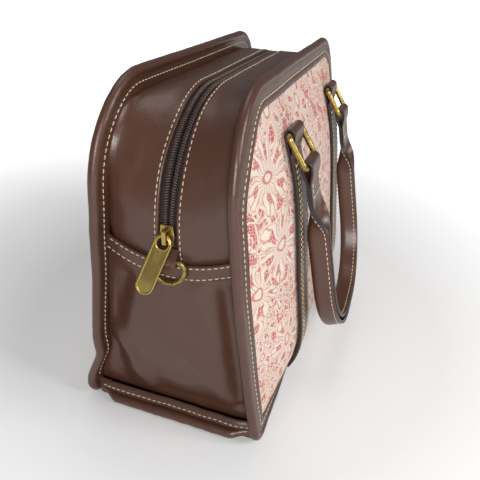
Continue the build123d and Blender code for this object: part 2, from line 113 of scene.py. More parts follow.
# Zip pull, hanging from the slider's bridge, turned and leaning as in the frame
PULL_OUT = 4.925
PULL_TURN = math.radians(18)
PULL_LEAN = math.radians(20)
PULL_HINGE = Vector((-(ARCH_X + TAPE_RADIUS + PULL_OUT), 0, ARCH_Z))
PULL_ACROSS = Vector((0, math.cos(PULL_TURN), math.sin(PULL_TURN)))
PULL_DOWN = Vector((-math.sin(PULL_LEAN), math.cos(PULL_LEAN) * math.sin(PULL_TURN),
                    -math.cos(PULL_LEAN) * math.cos(PULL_TURN)))
PULL_LENGTH = 41.0
PULL_HALF = 6.1
EYE_DOWN = 4.8
EYE_RADIUS = 3.6

# Straps, rings and handles: a ring's upper bar lies in the strap's loop, and its lower bar in the
# handle's
STRAP_X = 70.0
STRAP_WIDTH = 26.0
STRAP_FOOT = 15.5
STRAP_THICKNESS = 3.0
RING_WIRE = 2.0
RING_CLEARANCE = 0.3
RING_Y = -57.506
RING_Z = 210.8
RING_LOW_Y = -70.578
RING_LOW_Z = 190.672
HANDLE_LEAN = math.radians(12)
HANDLE_DOWN = Vector((0, -math.sin(HANDLE_LEAN), -math.cos(HANDLE_LEAN)))
HANDLE_OUT = Vector((0, -math.cos(HANDLE_LEAN), math.sin(HANDLE_LEAN)))
HANDLE_DROP = 158.1
HANDLE_CORNER = 58.0
HANDLE_START = 13.0
HANDLE_FLAT = 24.0
HANDLE_FOLD_END = 58.0
FOLD_BEND = 7.5
FOLD_ANGLE = math.radians(101)
FOLD_CENTRE = 8.5
FOLD_STEPS = 14

# The photograph's camera: place in m, turns in radians, focal length in pixels of the picture
CAMERA_SPOT = (-0.3721, -0.1197, 0.3055)
CAMERA_YAW = 0.31
CAMERA_PITCH = -0.53
CAMERA_ROLL = 0.04
FOCAL_PIXELS = 476.3
PICTURE_PIXELS = 480
SENSOR_WIDTH = 36.0

# A stitch
STITCH_WIDTH = 0.8

# A strap's section has its two cut edges at these of its points
STRAP_TIPS = (0, 10)

SIDEWAYS = Vector((1, 0, 0))
SIDES = (("front", False), ("rear", True))


# Small tools

def linear(text):
    """A colour written as sRGB hex, as the linear values that Blender's shaders take."""
    values = [int(text[i:i + 2], 16) / 255 for i in (0, 2, 4)]
    return tuple(v / 12.92 if v <= 0.04045 else ((v + 0.055) / 1.055) ** 2.4 for v in values)


def add_node(tree, kind, *inputs, **settings):
    """Add a shader node with its settings.

    Inputs are sockets, nodes or constants, given in the order of its sockets or as (name, value).
    """
    node = tree.nodes.new(kind)
    for name, value in settings.items():
        setattr(node, name, value)
    for place, value in enumerate(inputs):
        if value is None:
            continue
        socket = node.inputs[place]
        if isinstance(value, tuple) and isinstance(value[0], str):
            socket, value = node.inputs[value[0]], value[1]
        set_input(tree, socket, value)
    return node


def set_input(tree, socket, value):
    """Link a node's first output or a socket to an input, or set the input's value."""
    if isinstance(value, bpy.types.Node):
        value = value.outputs[0]
    if isinstance(value, bpy.types.NodeSocket):
        tree.links.new(value, socket)
    else:
        socket.default_value = value


def smooth(value, low, high):
    """0 at low, 1 at high, and an even turn between."""
    t = min(1.0, max(0.0, (value - low) / (high - low)))
    return t * t * (3 - 2 * t)


def deselect():
    """Leave edit mode, with nothing selected."""
    if bpy.context.mode != "OBJECT":
        bpy.ops.object.mode_set(mode="OBJECT")
    bpy.ops.object.select_all(action="DESELECT")


def pick(piece):
    """Select one piece and make it the active one."""
    deselect()
    piece.select_set(True)
    bpy.context.view_layer.objects.active = piece


def finish_piece(piece, body, nodes=()):
    """Give a finished piece its body, and hide the nodes that it stands for."""
    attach(piece, body)
    if nodes:
        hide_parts(*nodes)


def lay_grid(name, columns, rows, place, materials, closed=False, ring=False, caps=False, paint=None,
             angle=50, mirror=False, far=False):
    """Lay a grid primitive over a surface: place(i, j) gives a vertex in mm, and closed sides are merged.

    The place is given for the front and the near end; mirror lays it at the rear, far at the other end.
    """
    deselect()
    bpy.ops.mesh.primitive_grid_add(x_subdivisions=columns, y_subdivisions=rows, size=2)
    piece = bpy.context.object
    piece.name = name
    piece.data.name = name
    for material in materials:
        piece.data.materials.append(material)
    mesh = piece.data
    index = [(round((v.co.x + 1) / 2 * columns), round((v.co.y + 1) / 2 * rows)) for v in mesh.vertices]
    if paint:
        for face in mesh.polygons:
            centre = face.center
            face.material_index = paint((centre.x + 1) / 2 * columns, (centre.y + 1) / 2 * rows)
    for vertex, (i, j) in zip(mesh.vertices, index):
        i = i % columns if closed else i
        j = j % rows if ring else j
        point = place(i, j)
        x, y = -point.x if far else point.x, -point.y if mirror else point.y
        vertex.co = dent(Vector((x, y, point.z))) * MM
    bpy.ops.object.mode_set(mode="EDIT")
    bpy.ops.mesh.select_all(action="SELECT")
    bpy.ops.mesh.remove_doubles(threshold=1e-6)
    if caps:
        bpy.ops.mesh.select_all(action="SELECT")
        bpy.ops.mesh.fill_holes(sides=0)
    bpy.ops.mesh.select_all(action="SELECT")
    bpy.ops.mesh.normals_make_consistent(inside=False)
    bpy.ops.object.mode_set(mode="OBJECT")
    bpy.ops.object.shade_smooth_by_angle(angle=math.radians(angle))
    return piece


def joined(name, pieces):
    """Join like pieces into one, under one name."""
    deselect()
    for piece in pieces:
        piece.select_set(True)
    bpy.context.view_layer.objects.active = pieces[0]
    bpy.ops.object.join()
    pieces[0].name = name
    pieces[0].data.name = name
    return pieces[0]


def turn_outwards(piece, direction):
    """An open sheet's faces are turned to point the given way."""
    total = sum(face.normal.dot(direction) * face.area for face in piece.data.polygons)
    if total < 0:
        pick(piece)
        bpy.ops.object.mode_set(mode="EDIT")
        bpy.ops.mesh.select_all(action="SELECT")
        bpy.ops.mesh.flip_normals()
        bpy.ops.object.mode_set(mode="OBJECT")


def thicken(piece, thickness):
    """Give a sheet its wall, inwards."""
    pick(piece)
    wall = piece.modifiers.new("wall", "SOLIDIFY")
    wall.thickness = thickness * MM
    wall.offset = -1
    bpy.ops.object.modifier_apply(modifier=wall.name)


# The bag's shape

def edge_depth(z):
    """Half depth of the bag at the rolled edge: widest at the base, drawn in above."""
    if z > EDGE_SHOULDER:
        return SHOULDER_DEPTH + (z - EDGE_SHOULDER) * SHOULDER_SLOPE
    if z < EDGE_FOOT:
        return FOOT_DEPTH + (z - EDGE_FOOT) * FOOT_SLOPE
    centre_y, centre_z, radius = EDGE_ARC
    return centre_y - math.sqrt(radius ** 2 - (z - centre_z) ** 2)


def edge_arc():
    """Centre and radius of the arc that the rolled edge follows below the shoulder, seen from the end."""
    length = math.hypot(SHOULDER_SLOPE, 1)
    run_y, run_z = FOOT_DEPTH - SHOULDER_DEPTH, EDGE_FOOT - EDGE_SHOULDER
    turn = abs(-SHOULDER_SLOPE * run_z + run_y) / length
    radius = (run_y ** 2 + run_z ** 2) / (2 * turn)
    return SHOULDER_DEPTH + radius / length, EDGE_SHOULDER - radius * SHOULDER_SLOPE / length, radius


EDGE_ARC = edge_arc()


def bulge(x, z):
    """How far a filled panel stands out of the plane of its seam."""
    across = min(1.0, abs(x) / (HALF_LENGTH - BULGE_RIM))
    end = TOP - BULGE_RIM if z > BULGE_Z else BULGE_FOOT
    up = min(1.0, (z - BULGE_Z) / (end - BULGE_Z))
    return BULGE * ((1 - across ** BULGE_FLATNESS) * (1 - up ** BULGE_FLATNESS)) ** BULGE_FADE


def panel_point(x, z, out):
    """A point on the front panel, that far outside its inner face."""
    return Vector((x, -(edge_depth(z) + bulge(x, z)) - out, z))


def near_end(x):
    """1 at the near end, fading over about 30 mm."""
    return math.exp(-((x + HALF_LENGTH) / 30) ** 2)


def settle(p):
    """Small leans and waves of the standing bag, the same for every layer of leather."""
    wave = noise.noise(Vector((p.x / 42, p.y / 60, p.z / 42)))
    return Vector((p.x + 0.5 * wave * near_end(p.x), p.y + 0.7 * wave, p.z))


def dent(p):
    """The rear corner at the near end: pressed in above the base, and spread out below that."""
    near = near_end(p.x) * smooth(p.y, 10, 50)
    pressed = 3.0 * math.exp(-((p.z - 48) / 10) ** 2)
    spread = 3.4 * math.exp(-((p.z - 18) / 13) ** 2)
    return Vector((p.x, p.y + near * (spread - pressed), p.z))


def outline(inset):
    """The arched outline, inset from the roll's centreline, as a closed loop of (x, z) stations."""
    half, top, foot = HALF_LENGTH - inset, TOP - inset, ROLL + inset
    corner = max(CORNER - inset, 1.5)
    rx, rz = SHOULDER_X - inset, SHOULDER_Z - inset
    points = [((half - corner) * -i / 36, foot) for i in range(36)]
    for i in range(8):
        turn = i / 8 * math.pi / 2
        points.append((-half + corner - corner * math.sin(turn), foot + corner - corner * math.cos(turn)))
    for i in range(64):
        points.append((-half, foot + corner + (top - rz - foot - corner) * i / 64))
    for i in range(48):
        turn = i / 48 * math.pi / 2
        points.append((-half + rx - rx * math.cos(turn), top - rz + rz * math.sin(turn)))
    for i in range(44):
        points.append(((-half + rx) * (1 - i / 44), top))
    return points + [(0.0, top)] + [(-x, z) for x, z in points[:0:-1]]


def walk(pairs, gap):
    """Evenly spaced (position, direction, outward normal) along a line of (position, normal) pairs."""
    spots = []
    travelled, wanted = 0.0, gap / 2
    for (a, na), (b, nb) in zip(pairs, pairs[1:]):
        step = (b - a).length
        while step > 0 and wanted <= travelled + step:
            t = (wanted - travelled) / step
            spots.append((a.lerp(b, t), (b - a).normalized(), na.lerp(nb, t).normalized()))
            wanted += gap
        travelled += step
    return spots


def sew(name, lines, body):
    """Lay copies of one stitch along each line of (position, normal) pairs, as one piece."""
    sizes = bpy.context.scene.handbag_sizes
    length = sizes.stitch_length
    deselect()
    bpy.ops.mesh.primitive_uv_sphere_add(segments=6, ring_count=5, radius=0.5)
    stitch = bpy.context.object
    shape = [v.co.copy() for v in stitch.data.vertices]
    faces = [tuple(f.vertices) for f in stitch.data.polygons]
    bpy.ops.object.delete()
    vertices, polygons = [], []
    for line in lines:
        for spot, along, out in walk(line, sizes.stitch_gap):
            side = out.cross(along).normalized()
            up = along.cross(side).normalized()
            start = len(vertices)
            for v in shape:
                # The ends of a stitch go down into the leather
                lift = 0.16 - 1.1 * v.z ** 2
                point = spot + along * v.z * length + side * v.x * STITCH_WIDTH
                point += up * (v.y * STITCH_WIDTH * 0.8 + lift)
                vertices.append(dent(point) * MM)
            polygons.extend(tuple(start + i for i in face) for face in faces)
    mesh = bpy.data.meshes.new(name)
    mesh.from_pydata(vertices, [], polygons)
    mesh.materials.append(MATERIALS["thread"])
    piece = bpy.data.objects.new(name, mesh)
    bpy.context.scene.collection.objects.link(piece)
    pick(piece)
    bpy.ops.object.mode_set(mode="EDIT")
    bpy.ops.mesh.select_all(action="SELECT")
    bpy.ops.mesh.normals_make_consistent(inside=False)
    bpy.ops.object.mode_set(mode="OBJECT")
    bpy.ops.object.shade_smooth()
    finish_piece(piece, body)


def rear_line(line):
    """A line's mirror image on the rear."""
    return [(Vector((p.x, -p.y, p.z)), Vector((n.x, -n.y, n.z))) for p, n in line]


def far_line(line):
    """A line's mirror image at the far end."""
    return [(Vector((-p.x, p.y, p.z)), Vector((-n.x, n.y, n.z))) for p, n in line]


# Materials

def new_material(name):
    """An empty material: its node tree, its shader and the object's own coordinates, in metres."""
    material = bpy.data.materials.new(name)
    material.use_nodes = True
    tree = material.node_tree
    tree.nodes.clear()
    shader = add_node(tree, "ShaderNodeBsdfPrincipled")
    output = add_node(tree, "ShaderNodeOutputMaterial", shader)
    output.location = (300, 0)
    coordinates = add_node(tree, "ShaderNodeTexCoord").outputs["Object"]
    return material, tree, shader, coordinates


def maths(tree, operation, *values):
    return add_node(tree, "ShaderNodeMath", *values, operation=operation)


def vectors(tree, operation, *values):
    return add_node(tree, "ShaderNodeVectorMath", *values, operation=operation)


def mapped(tree, value, low, high, to_low=0.0, to_high=1.0):
    """A value carried from one range to another, and held inside it."""
    return add_node(tree, "ShaderNodeMapRange", value, low, high, to_low, to_high)


def clouds(tree, place, scale, detail=2.0, roughness=0.5):
    """Noise, with about as many spots to a unit of the place as the scale says."""
    return add_node(tree, "ShaderNodeTexNoise", ("Vector", place), ("Scale", scale), ("Detail", detail),
                    ("Roughness", roughness))


def relief(tree, height, strength, distance, below=None):
    """A bump, laid over another one if that is given."""
    bump = add_node(tree, "ShaderNodeBump", ("Strength", strength), ("Distance", distance), ("Height", height))
    if below is not None:
        tree.links.new(below.outputs[0], bump.inputs["Normal"])
    return bump


def shaded(colour, factor):
    return tuple(min(1.0, c * factor) for c in colour)


def tinted(tree, share, low, high):
    """A mix of two colours, or of two colour sockets: returns its socket."""
    low, high = ((*tone, 1.0) if isinstance(tone, tuple) else tone for tone in (low, high))
    blank = (None,) * 5
    return add_node(tree, "ShaderNodeMix", share, *blank, low, high, data_type="RGBA").outputs[2]


def fill(tree, shader, inputs):
    """Link or set the shader's inputs by name."""
    for name, value in inputs.items():
        set_input(tree, shader.inputs[name], value)


def coated_leather(name, colour, roughness):
    """Cow leather under a thin brown finish, smooth plated: fine pebble, soft sheen, slightly uneven dye."""
    material, tree, shader, place = new_material(name)
    # Dye clouds about 45 mm wide
    spread = clouds(tree, place, 22.0, 3.0)
    dye = tinted(tree, spread, shaded(colour, 0.80), shaded(colour, 1.16))
    # Grain cells are about 0.9 mm, drawn a little coarser than the real 0.5 mm so that they show
    grain = add_node(tree, "ShaderNodeTexVoronoi", ("Vector", place), ("Scale", 1100.0), feature="F1")
    pores = clouds(tree, place, 420.0, 4.0)
    mixed = maths(tree, "ADD", grain, pores)
    fine = relief(tree, mixed, 0.30, 0.00025)
    # Slow ripples about 18 mm across, from the lining pulling on the skin
    ripple = clouds(tree, place, 55.0, 1.0)
    broad = relief(tree, ripple, 0.42, 0.0018, fine)
    gloss = mapped(tree, pores, 0.0, 1.0, roughness - 0.05, roughness + 0.07)
    fill(tree, shader, {"Base Color": dye, "Normal": broad, "Roughness": gloss, "IOR": 1.5,
                        "Coat Weight": 0.12, "Coat Roughness": 0.24})
    return material


def edge_paint(name, colour):
    """Black edge paint on cut leather: thick, slightly glossy, with small runs."""
    material, tree, shader, place = new_material(name)
    runs = clouds(tree, place, 260.0, 2.0)
    tone = tinted(tree, runs, shaded(colour, 0.6), shaded(colour, 1.6))
    bump = relief(tree, runs, 0.25, 0.0004)
    fill(tree, shader, {"Base Color": tone, "Normal": bump, "Roughness": 0.38})
    return material


def polyester_thread(name, colour):
    """Bonded polyester sewing thread: three plies, low gloss."""
    material, tree, shader, place = new_material(name)
    # Ply twist every 0.7 mm
    twist = clouds(tree, place, 1500.0, 1.0)
    tone = tinted(tree, twist, shaded(colour, 0.72), colour)
    bump = relief(tree, twist, 0.4, 0.0003)
    fill(tree, shader, {"Base Color": tone, "Normal": bump, "Roughness": 0.62})
    return material


def antique_brass(name, bright, tarnish, polish):
    """Cast brass, darkened and then polished back on its high places: mottled brown-gold, soft shine."""
    material, tree, shader, place = new_material(name)
    # Tarnish spots about 2.4 mm wide, with finer specks in them
    spots = clouds(tree, place, 420.0, 5.0, 0.65)
    worn = add_node(tree, "ShaderNodeNewGeometry").outputs["Pointiness"]
    edge = mapped(tree, worn, 0.49, 0.56)
    patch = mapped(tree, spots, 0.62 - polish, 0.88 - polish)
    both = maths(tree, "MAXIMUM", edge, patch)
    tone = tinted(tree, both, tarnish, bright)
    gloss = mapped(tree, both, 0.0, 1.0, 0.48, 0.27)
    bump = relief(tree, spots, 0.2, 0.0003)
    fill(tree, shader, {"Base Color": tone, "Roughness": gloss, "Normal": bump, "Metallic": 0.95})
    return material


def woven_tape(name, colour, pitch):
    """Herringbone polyester tape: ribs across, matt, near black."""
    material, tree, shader, place = new_material(name)
    # Blender's wave repeats about every 1 / (6.2 * scale)
    weave = add_node(tree, "ShaderNodeTexWave", ("Vector", place), ("Scale", 1 / pitch / 6.2),
                     bands_direction="DIAGONAL")
    tone = tinted(tree, weave.outputs["Fac"], shaded(colour, 0.5), shaded(colour, 1.7))
    bump = relief(tree, weave.outputs["Fac"], 0.5, 0.0003)
    fill(tree, shader, {"Base Color": tone, "Normal": bump, "Roughness": 0.8})
    return material


def nylon_coil(name, colour):
    """Extruded nylon monofilament, dyed dark: smooth with a waxy shine."""
    material, tree, shader, place = new_material(name)
    dye = clouds(tree, place, 300.0)
    tone = tinted(tree, dye, shaded(colour, 0.7), shaded(colour, 1.4))
    fill(tree, shader, {"Base Color": tone, "Roughness": 0.34, "IOR": 1.53})
    return material


def flower_mask(tree, flat, cell, radius, petals, net):
    """Open-work flowers, one to a cell: returns (thread cover 0 to 1, flower area 0 to 1)."""
    scaled = vectors(tree, "MULTIPLY", flat, (1 / cell, 1 / cell, 1.0))
    cells = add_node(tree, "ShaderNodeTexVoronoi", ("Vector", scaled), ("Scale", 1.0),
                     ("Randomness", 0.75), voronoi_dimensions="2D")
    offset = vectors(tree, "SUBTRACT", scaled, cells.outputs["Position"])
    parts = add_node(tree, "ShaderNodeSeparateXYZ", offset)
    length = vectors(tree, "LENGTH", offset)
    r = maths(tree, "MULTIPLY", length.outputs["Value"], cell)
    angle = maths(tree, "ARCTAN2", parts.outputs[1], parts.outputs[0])
    tint = add_node(tree, "ShaderNodeSeparateColor", cells.outputs["Color"])
    spin = maths(tree, "MULTIPLY", tint.outputs[0], 5.0)
    angle = maths(tree, "ADD", angle, spin)
    # Each petal is a rounded lobe of |cos|
    half = maths(tree, "MULTIPLY", angle, petals / 2)
    lobe = maths(tree, "COSINE", half)
    lobe = maths(tree, "ABSOLUTE", lobe)
    round_lobe = maths(tree, "POWER", lobe, 0.45)
    size = mapped(tree, tint.outputs[1], 0.0, 1.0, 0.80 * radius, radius)
    reach = mapped(tree, round_lobe, 0.0, 1.0, 0.30, 1.0)
    reach = maths(tree, "MULTIPLY", reach, size)
    rim = maths(tree, "SUBTRACT", reach, r)
    area = mapped(tree, rim, 0.0, 0.5)
    # A dense cord runs round each petal, then a fine gap, then the filled petal
    cord = mapped(tree, rim, 1.7, 1.3)
    gap = mapped(tree, rim, 1.7, 2.3, 0.25, 1.0)
    # Fine veins fan out along some petals, and others have rows that follow the rim, 3.4 mm apart
    vein = maths(tree, "MULTIPLY", angle, petals * 4.0)
    vein = maths(tree, "COSINE", vein)
    row = maths(tree, "MULTIPLY", rim, 2 * math.pi / 3.4)
    row = maths(tree, "COSINE", row)
    kind = maths(tree, "GREATER_THAN", tint.outputs[2], 0.5)
    mark = add_node(tree, "ShaderNodeMix", kind, None, vein, row, data_type="FLOAT")
    mark = mapped(tree, mark, -0.92, -0.55, 0.40, 1.0)
    # Open windows in the petals show the net
    tip = maths(tree, "DIVIDE", r, size)
    outer = mapped(tree, tip, 0.74, 0.68)
    inner = mapped(tree, tip, 0.40, 0.46)
    narrow = mapped(tree, lobe, 0.86, 0.92)
    window = maths(tree, "MULTIPLY", outer, inner)
    window = maths(tree, "MULTIPLY", window, narrow)
    petal = add_node(tree, "ShaderNodeMix", window, None, mark, net, data_type="FLOAT")
    petal = maths(tree, "MULTIPLY", gap, petal)
    cover = maths(tree, "MAXIMUM", cord, petal)
    # The heart: a knot and a gap round it
    heart = mapped(tree, tip, 0.16, 0.12)
    moat = mapped(tree, tip, 0.18, 0.22, 0.2, 1.0)
    cover = maths(tree, "MULTIPLY", cover, moat)
    cover = maths(tree, "MAXIMUM", cover, heart)
    return cover, area


def laid_over(tree, below, cover, area):
    """One motif's thread cover laid over what is below it."""
    mix = add_node(tree, "ShaderNodeMix", area, None, below, cover, data_type="FLOAT")
    return mix.outputs[0]


def lace_cloth(name, coral, cream):
    """Coral cotton under cream corded lace: net ground, blossoms with veined petals, trailing cords."""
    material, tree, shader, place = new_material(name)
    parts = add_node(tree, "ShaderNodeSeparateXYZ", place)
    flat = add_node(tree, "ShaderNodeCombineXYZ", parts.outputs[0], parts.outputs[2])
    flat = vectors(tree, "MULTIPLY", flat, (1000.0, 1000.0, 1.0))
    # The lace is drawn unevenly, by about 3 mm over 20 mm
    sway = clouds(tree, flat, 0.05, 2.0)
    sway = vectors(tree, "MULTIPLY", sway.outputs["Color"], (16.0, 16.0, 0.0))
    flat = vectors(tree, "ADD", flat, sway).outputs[0]
    # Net ground: meshes 2.6 mm wide
    net = add_node(tree, "ShaderNodeTexVoronoi", ("Vector", flat), ("Scale", 1 / 2.6),
                   ("Randomness", 0.5), voronoi_dimensions="2D", feature="DISTANCE_TO_EDGE")
    net = mapped(tree, net, 0.13, 0.07, 0.04, 0.75).outputs[0]
    # Trailing cords between the blossoms
    trail = add_node(tree, "ShaderNodeTexVoronoi", ("Vector", flat), ("Scale", 1 / 15.0),
                     ("Randomness", 0.9), voronoi_dimensions="2D", feature="DISTANCE_TO_EDGE")
    trail = mapped(tree, trail, 0.07, 0.045)
    cover = maths(tree, "MAXIMUM", net, trail).outputs[0]
    for cell, radius, petals in ((15.0, 8.5, 3.0), (25.0, 13.5, 5.0), (52.0, 30.0, 6.0)):
        shift = vectors(tree, "ADD", flat, (cell * 3.1, cell * 1.7, 0.0))
        motif, area = flower_mask(tree, shift.outputs[0], cell, radius, petals, net)
        cover = laid_over(tree, cover, motif, area)
    # Threads of 0.5 mm: the lace is uneven in cover, and its thread is a little grey where the cover is thin
    fuzz = clouds(tree, flat, 1.9, 3.0)
    worn = mapped(tree, fuzz, 0.32, 0.62, 0.74, 1.0)
    cover = maths(tree, "MULTIPLY", cover, worn)
    thread = tinted(tree, worn, shaded(cream, 0.74), cream)
    dye = clouds(tree, flat, 0.09, 2.0)
    cotton = tinted(tree, dye, shaded(coral, 0.72), shaded(coral, 1.3))
    tone = tinted(tree, cover, cotton, thread)
    fine = relief(tree, fuzz, 0.4, 0.0003)
    raised = relief(tree, cover, 0.6, 0.0006, fine)
    fill(tree, shader, {"Base Color": tone, "Normal": raised, "Roughness": 0.85})
    return material


def plain_weave(name, colour, pitch):
    """Plain woven lining cloth, or pressed board: matt, with a fine even texture."""
    material, tree, shader, place = new_material(name)
    weave = add_node(tree, "ShaderNodeTexVoronoi", ("Vector", place), ("Scale", 1 / pitch),
                     ("Randomness", 0.2))
    tone = tinted(tree, weave, colour, shaded(colour, 0.7))
    fill(tree, shader, {"Base Color": tone, "Roughness": 0.85})
    return material


def painted_floor(name, colour, lift):
    """Matt white paper sweep, with some light of its own that only the camera and reflections see."""
    material, tree, shader, place = new_material(name)
    fibre = clouds(tree, place, 120.0)
    tone = tinted(tree, fibre, colour, shaded(colour, 0.985))
    path = add_node(tree, "ShaderNodeLightPath")
    # Reflections see the paper at a third of its brightness, which keeps the leather's shaded sides dark
    mirrored = maths(tree, "MULTIPLY", path.outputs["Is Glossy Ray"], 0.35)
    seen = maths(tree, "MAXIMUM", path.outputs["Is Camera Ray"], mirrored)
    seen = maths(tree, "MAXIMUM", seen, path.outputs["Is Transmission Ray"])
    # The sweep turns fully white from 0.2 m to 0.8 m away, so that no horizon shows behind the bag
    away = vectors(tree, "LENGTH", place)
    rise = mapped(tree, away.outputs["Value"], 0.2, 0.8, lift, 1.0)
    glow = maths(tree, "MULTIPLY", seen, rise)
    fill(tree, shader, {"Base Color": tone, "Roughness": 0.95, "Specular IOR Level": 0.0,
                        "Emission Color": (1.0, 1.0, 1.0, 1.0), "Emission Strength": glow})
    return material


# Settings that a user would change

class HandbagSizes(bpy.types.PropertyGroup):
    stitch_gap: bpy.props.FloatProperty(
        name="Stitch pitch", description="From one stitch to the next, in mm", default=4.2, min=2, max=8)
    stitch_length: bpy.props.FloatProperty(
        name="Stitch length", description="Thread that shows in one stitch, in mm", default=3.1, min=1, max=7)
    coil_pitch: bpy.props.FloatProperty(
        name="Coil pitch", description="From one turn of the zip's coil to the next, in mm", default=1.6,
        min=1, max=4)
    fold_depth: bpy.props.FloatProperty(
        name="Fold depth", description="How strongly the end walls fold", default=1.3, min=0, max=2)


class HandbagColours(bpy.types.PropertyGroup):
    leather: bpy.props.FloatVectorProperty(
        name="Leather", description="Colour of the smooth leather", subtype="COLOR", default=linear("503327"))
    edge: bpy.props.FloatVectorProperty(
        name="Edge paint", description="Colour of the painted strap edges", subtype="COLOR",
        default=linear("1a1516"))
    thread: bpy.props.FloatVectorProperty(
        name="Thread", description="Colour of the stitching", subtype="COLOR", default=linear("e3d2b0"))
    coral: bpy.props.FloatVectorProperty(
        name="Cloth", description="Colour under the lace", subtype="COLOR", default=linear("bd5355"))
    cream: bpy.props.FloatVectorProperty(
        name="Lace", description="Colour of the lace", subtype="COLOR", default=linear("e8dfce"))
    brass: bpy.props.FloatVectorProperty(
        name="Brass", description="Colour of the polished brass", subtype="COLOR", default=linear("b39a58"))
    tarnish: bpy.props.FloatVectorProperty(
        name="Tarnish", description="Colour of the darkened brass", subtype="COLOR", default=linear("5a4827"))


MATERIALS = {}


class HANDBAG_OT_materials(bpy.types.Operator):
    """Make the bag's materials and give the CAD hardware its own"""
    bl_idname = "handbag.materials"
    bl_label = "Materials"

    def execute(self, context):
        colours = context.scene.handbag_colours
        leather = tuple(colours.leather)
        MATERIALS["leather"] = coated_leather("coated_leather", leather, 0.34)
        MATERIALS["edge"] = edge_paint("edge_paint", tuple(colours.edge))
        MATERIALS["thread"] = polyester_thread("polyester_thread", tuple(colours.thread))
        MATERIALS["lace"] = lace_cloth("lace_cloth", tuple(colours.coral), tuple(colours.cream))
        brass, tarnish = tuple(colours.brass), tuple(colours.tarnish)
        MATERIALS["brass"] = antique_brass("antique_brass", brass, tarnish, 0.30)
        MATERIALS["aged"] = antique_brass("aged_brass", brass, tuple(c * 0.55 for c in tarnish), 0.16)
        MATERIALS["tape"] = woven_tape("woven_tape", linear("1d1716"), 0.0009)
        MATERIALS["coil"] = nylon_coil("nylon_coil", linear("4a3b34"))
        MATERIALS["lining"] = plain_weave("lining_cloth", linear("55463c"), 0.0006)
        MATERIALS["board"] = plain_weave("pressed_board", linear("7c7264"), 0.001)
        finishes = {"leather": "leather", "printed_cloth": "lace", "brass": "brass", "zip_tape": "tape",
                    "zip_coil": "coil", "lining": "lining", "board": "board"}
        slots = {part["node"]: part["material_slot"] for part in frame["record"]["subparts"]}
        for name, node in frame["nodes"].items():
            node.data.materials.clear()
            node.data.materials.append(MATERIALS[finishes[slots[name]]])
        return {"FINISHED"}


class HANDBAG_OT_cloth(bpy.types.Operator):
    """Stretch the lace cloth over the front and rear panels"""
    bl_idname = "handbag.cloth"
    bl_label = "Cloth panels"

    def execute(self, context):
        inset = CLOTH_INSET
        columns, rows = 120, 96

        def place(i, j):
            x = -(HALF_LENGTH - inset) * math.cos(i / columns * math.pi)
            reach = max(0.0, abs(x) - (HALF_LENGTH - SHOULDER_X)) / (SHOULDER_X - inset)
            top = TOP - SHOULDER_Z + (SHOULDER_Z - inset) * math.sqrt(max(0.0, 1 - reach * reach))
            z = ROLL + inset + (top - ROLL - inset) * j / rows
            return settle(panel_point(x, z, CLOTH))

        for side, mirror in SIDES:
            piece = lay_grid(f"{side}_cloth", columns, rows, place, [MATERIALS["lace"]], mirror=mirror)
            turn_outwards(piece, Vector((0, 1 if mirror else -1, 0)))
            thicken(piece, CLOTH)
            finish_piece(piece, "bag", (f"{side}_panel",))
        return {"FINISHED"}


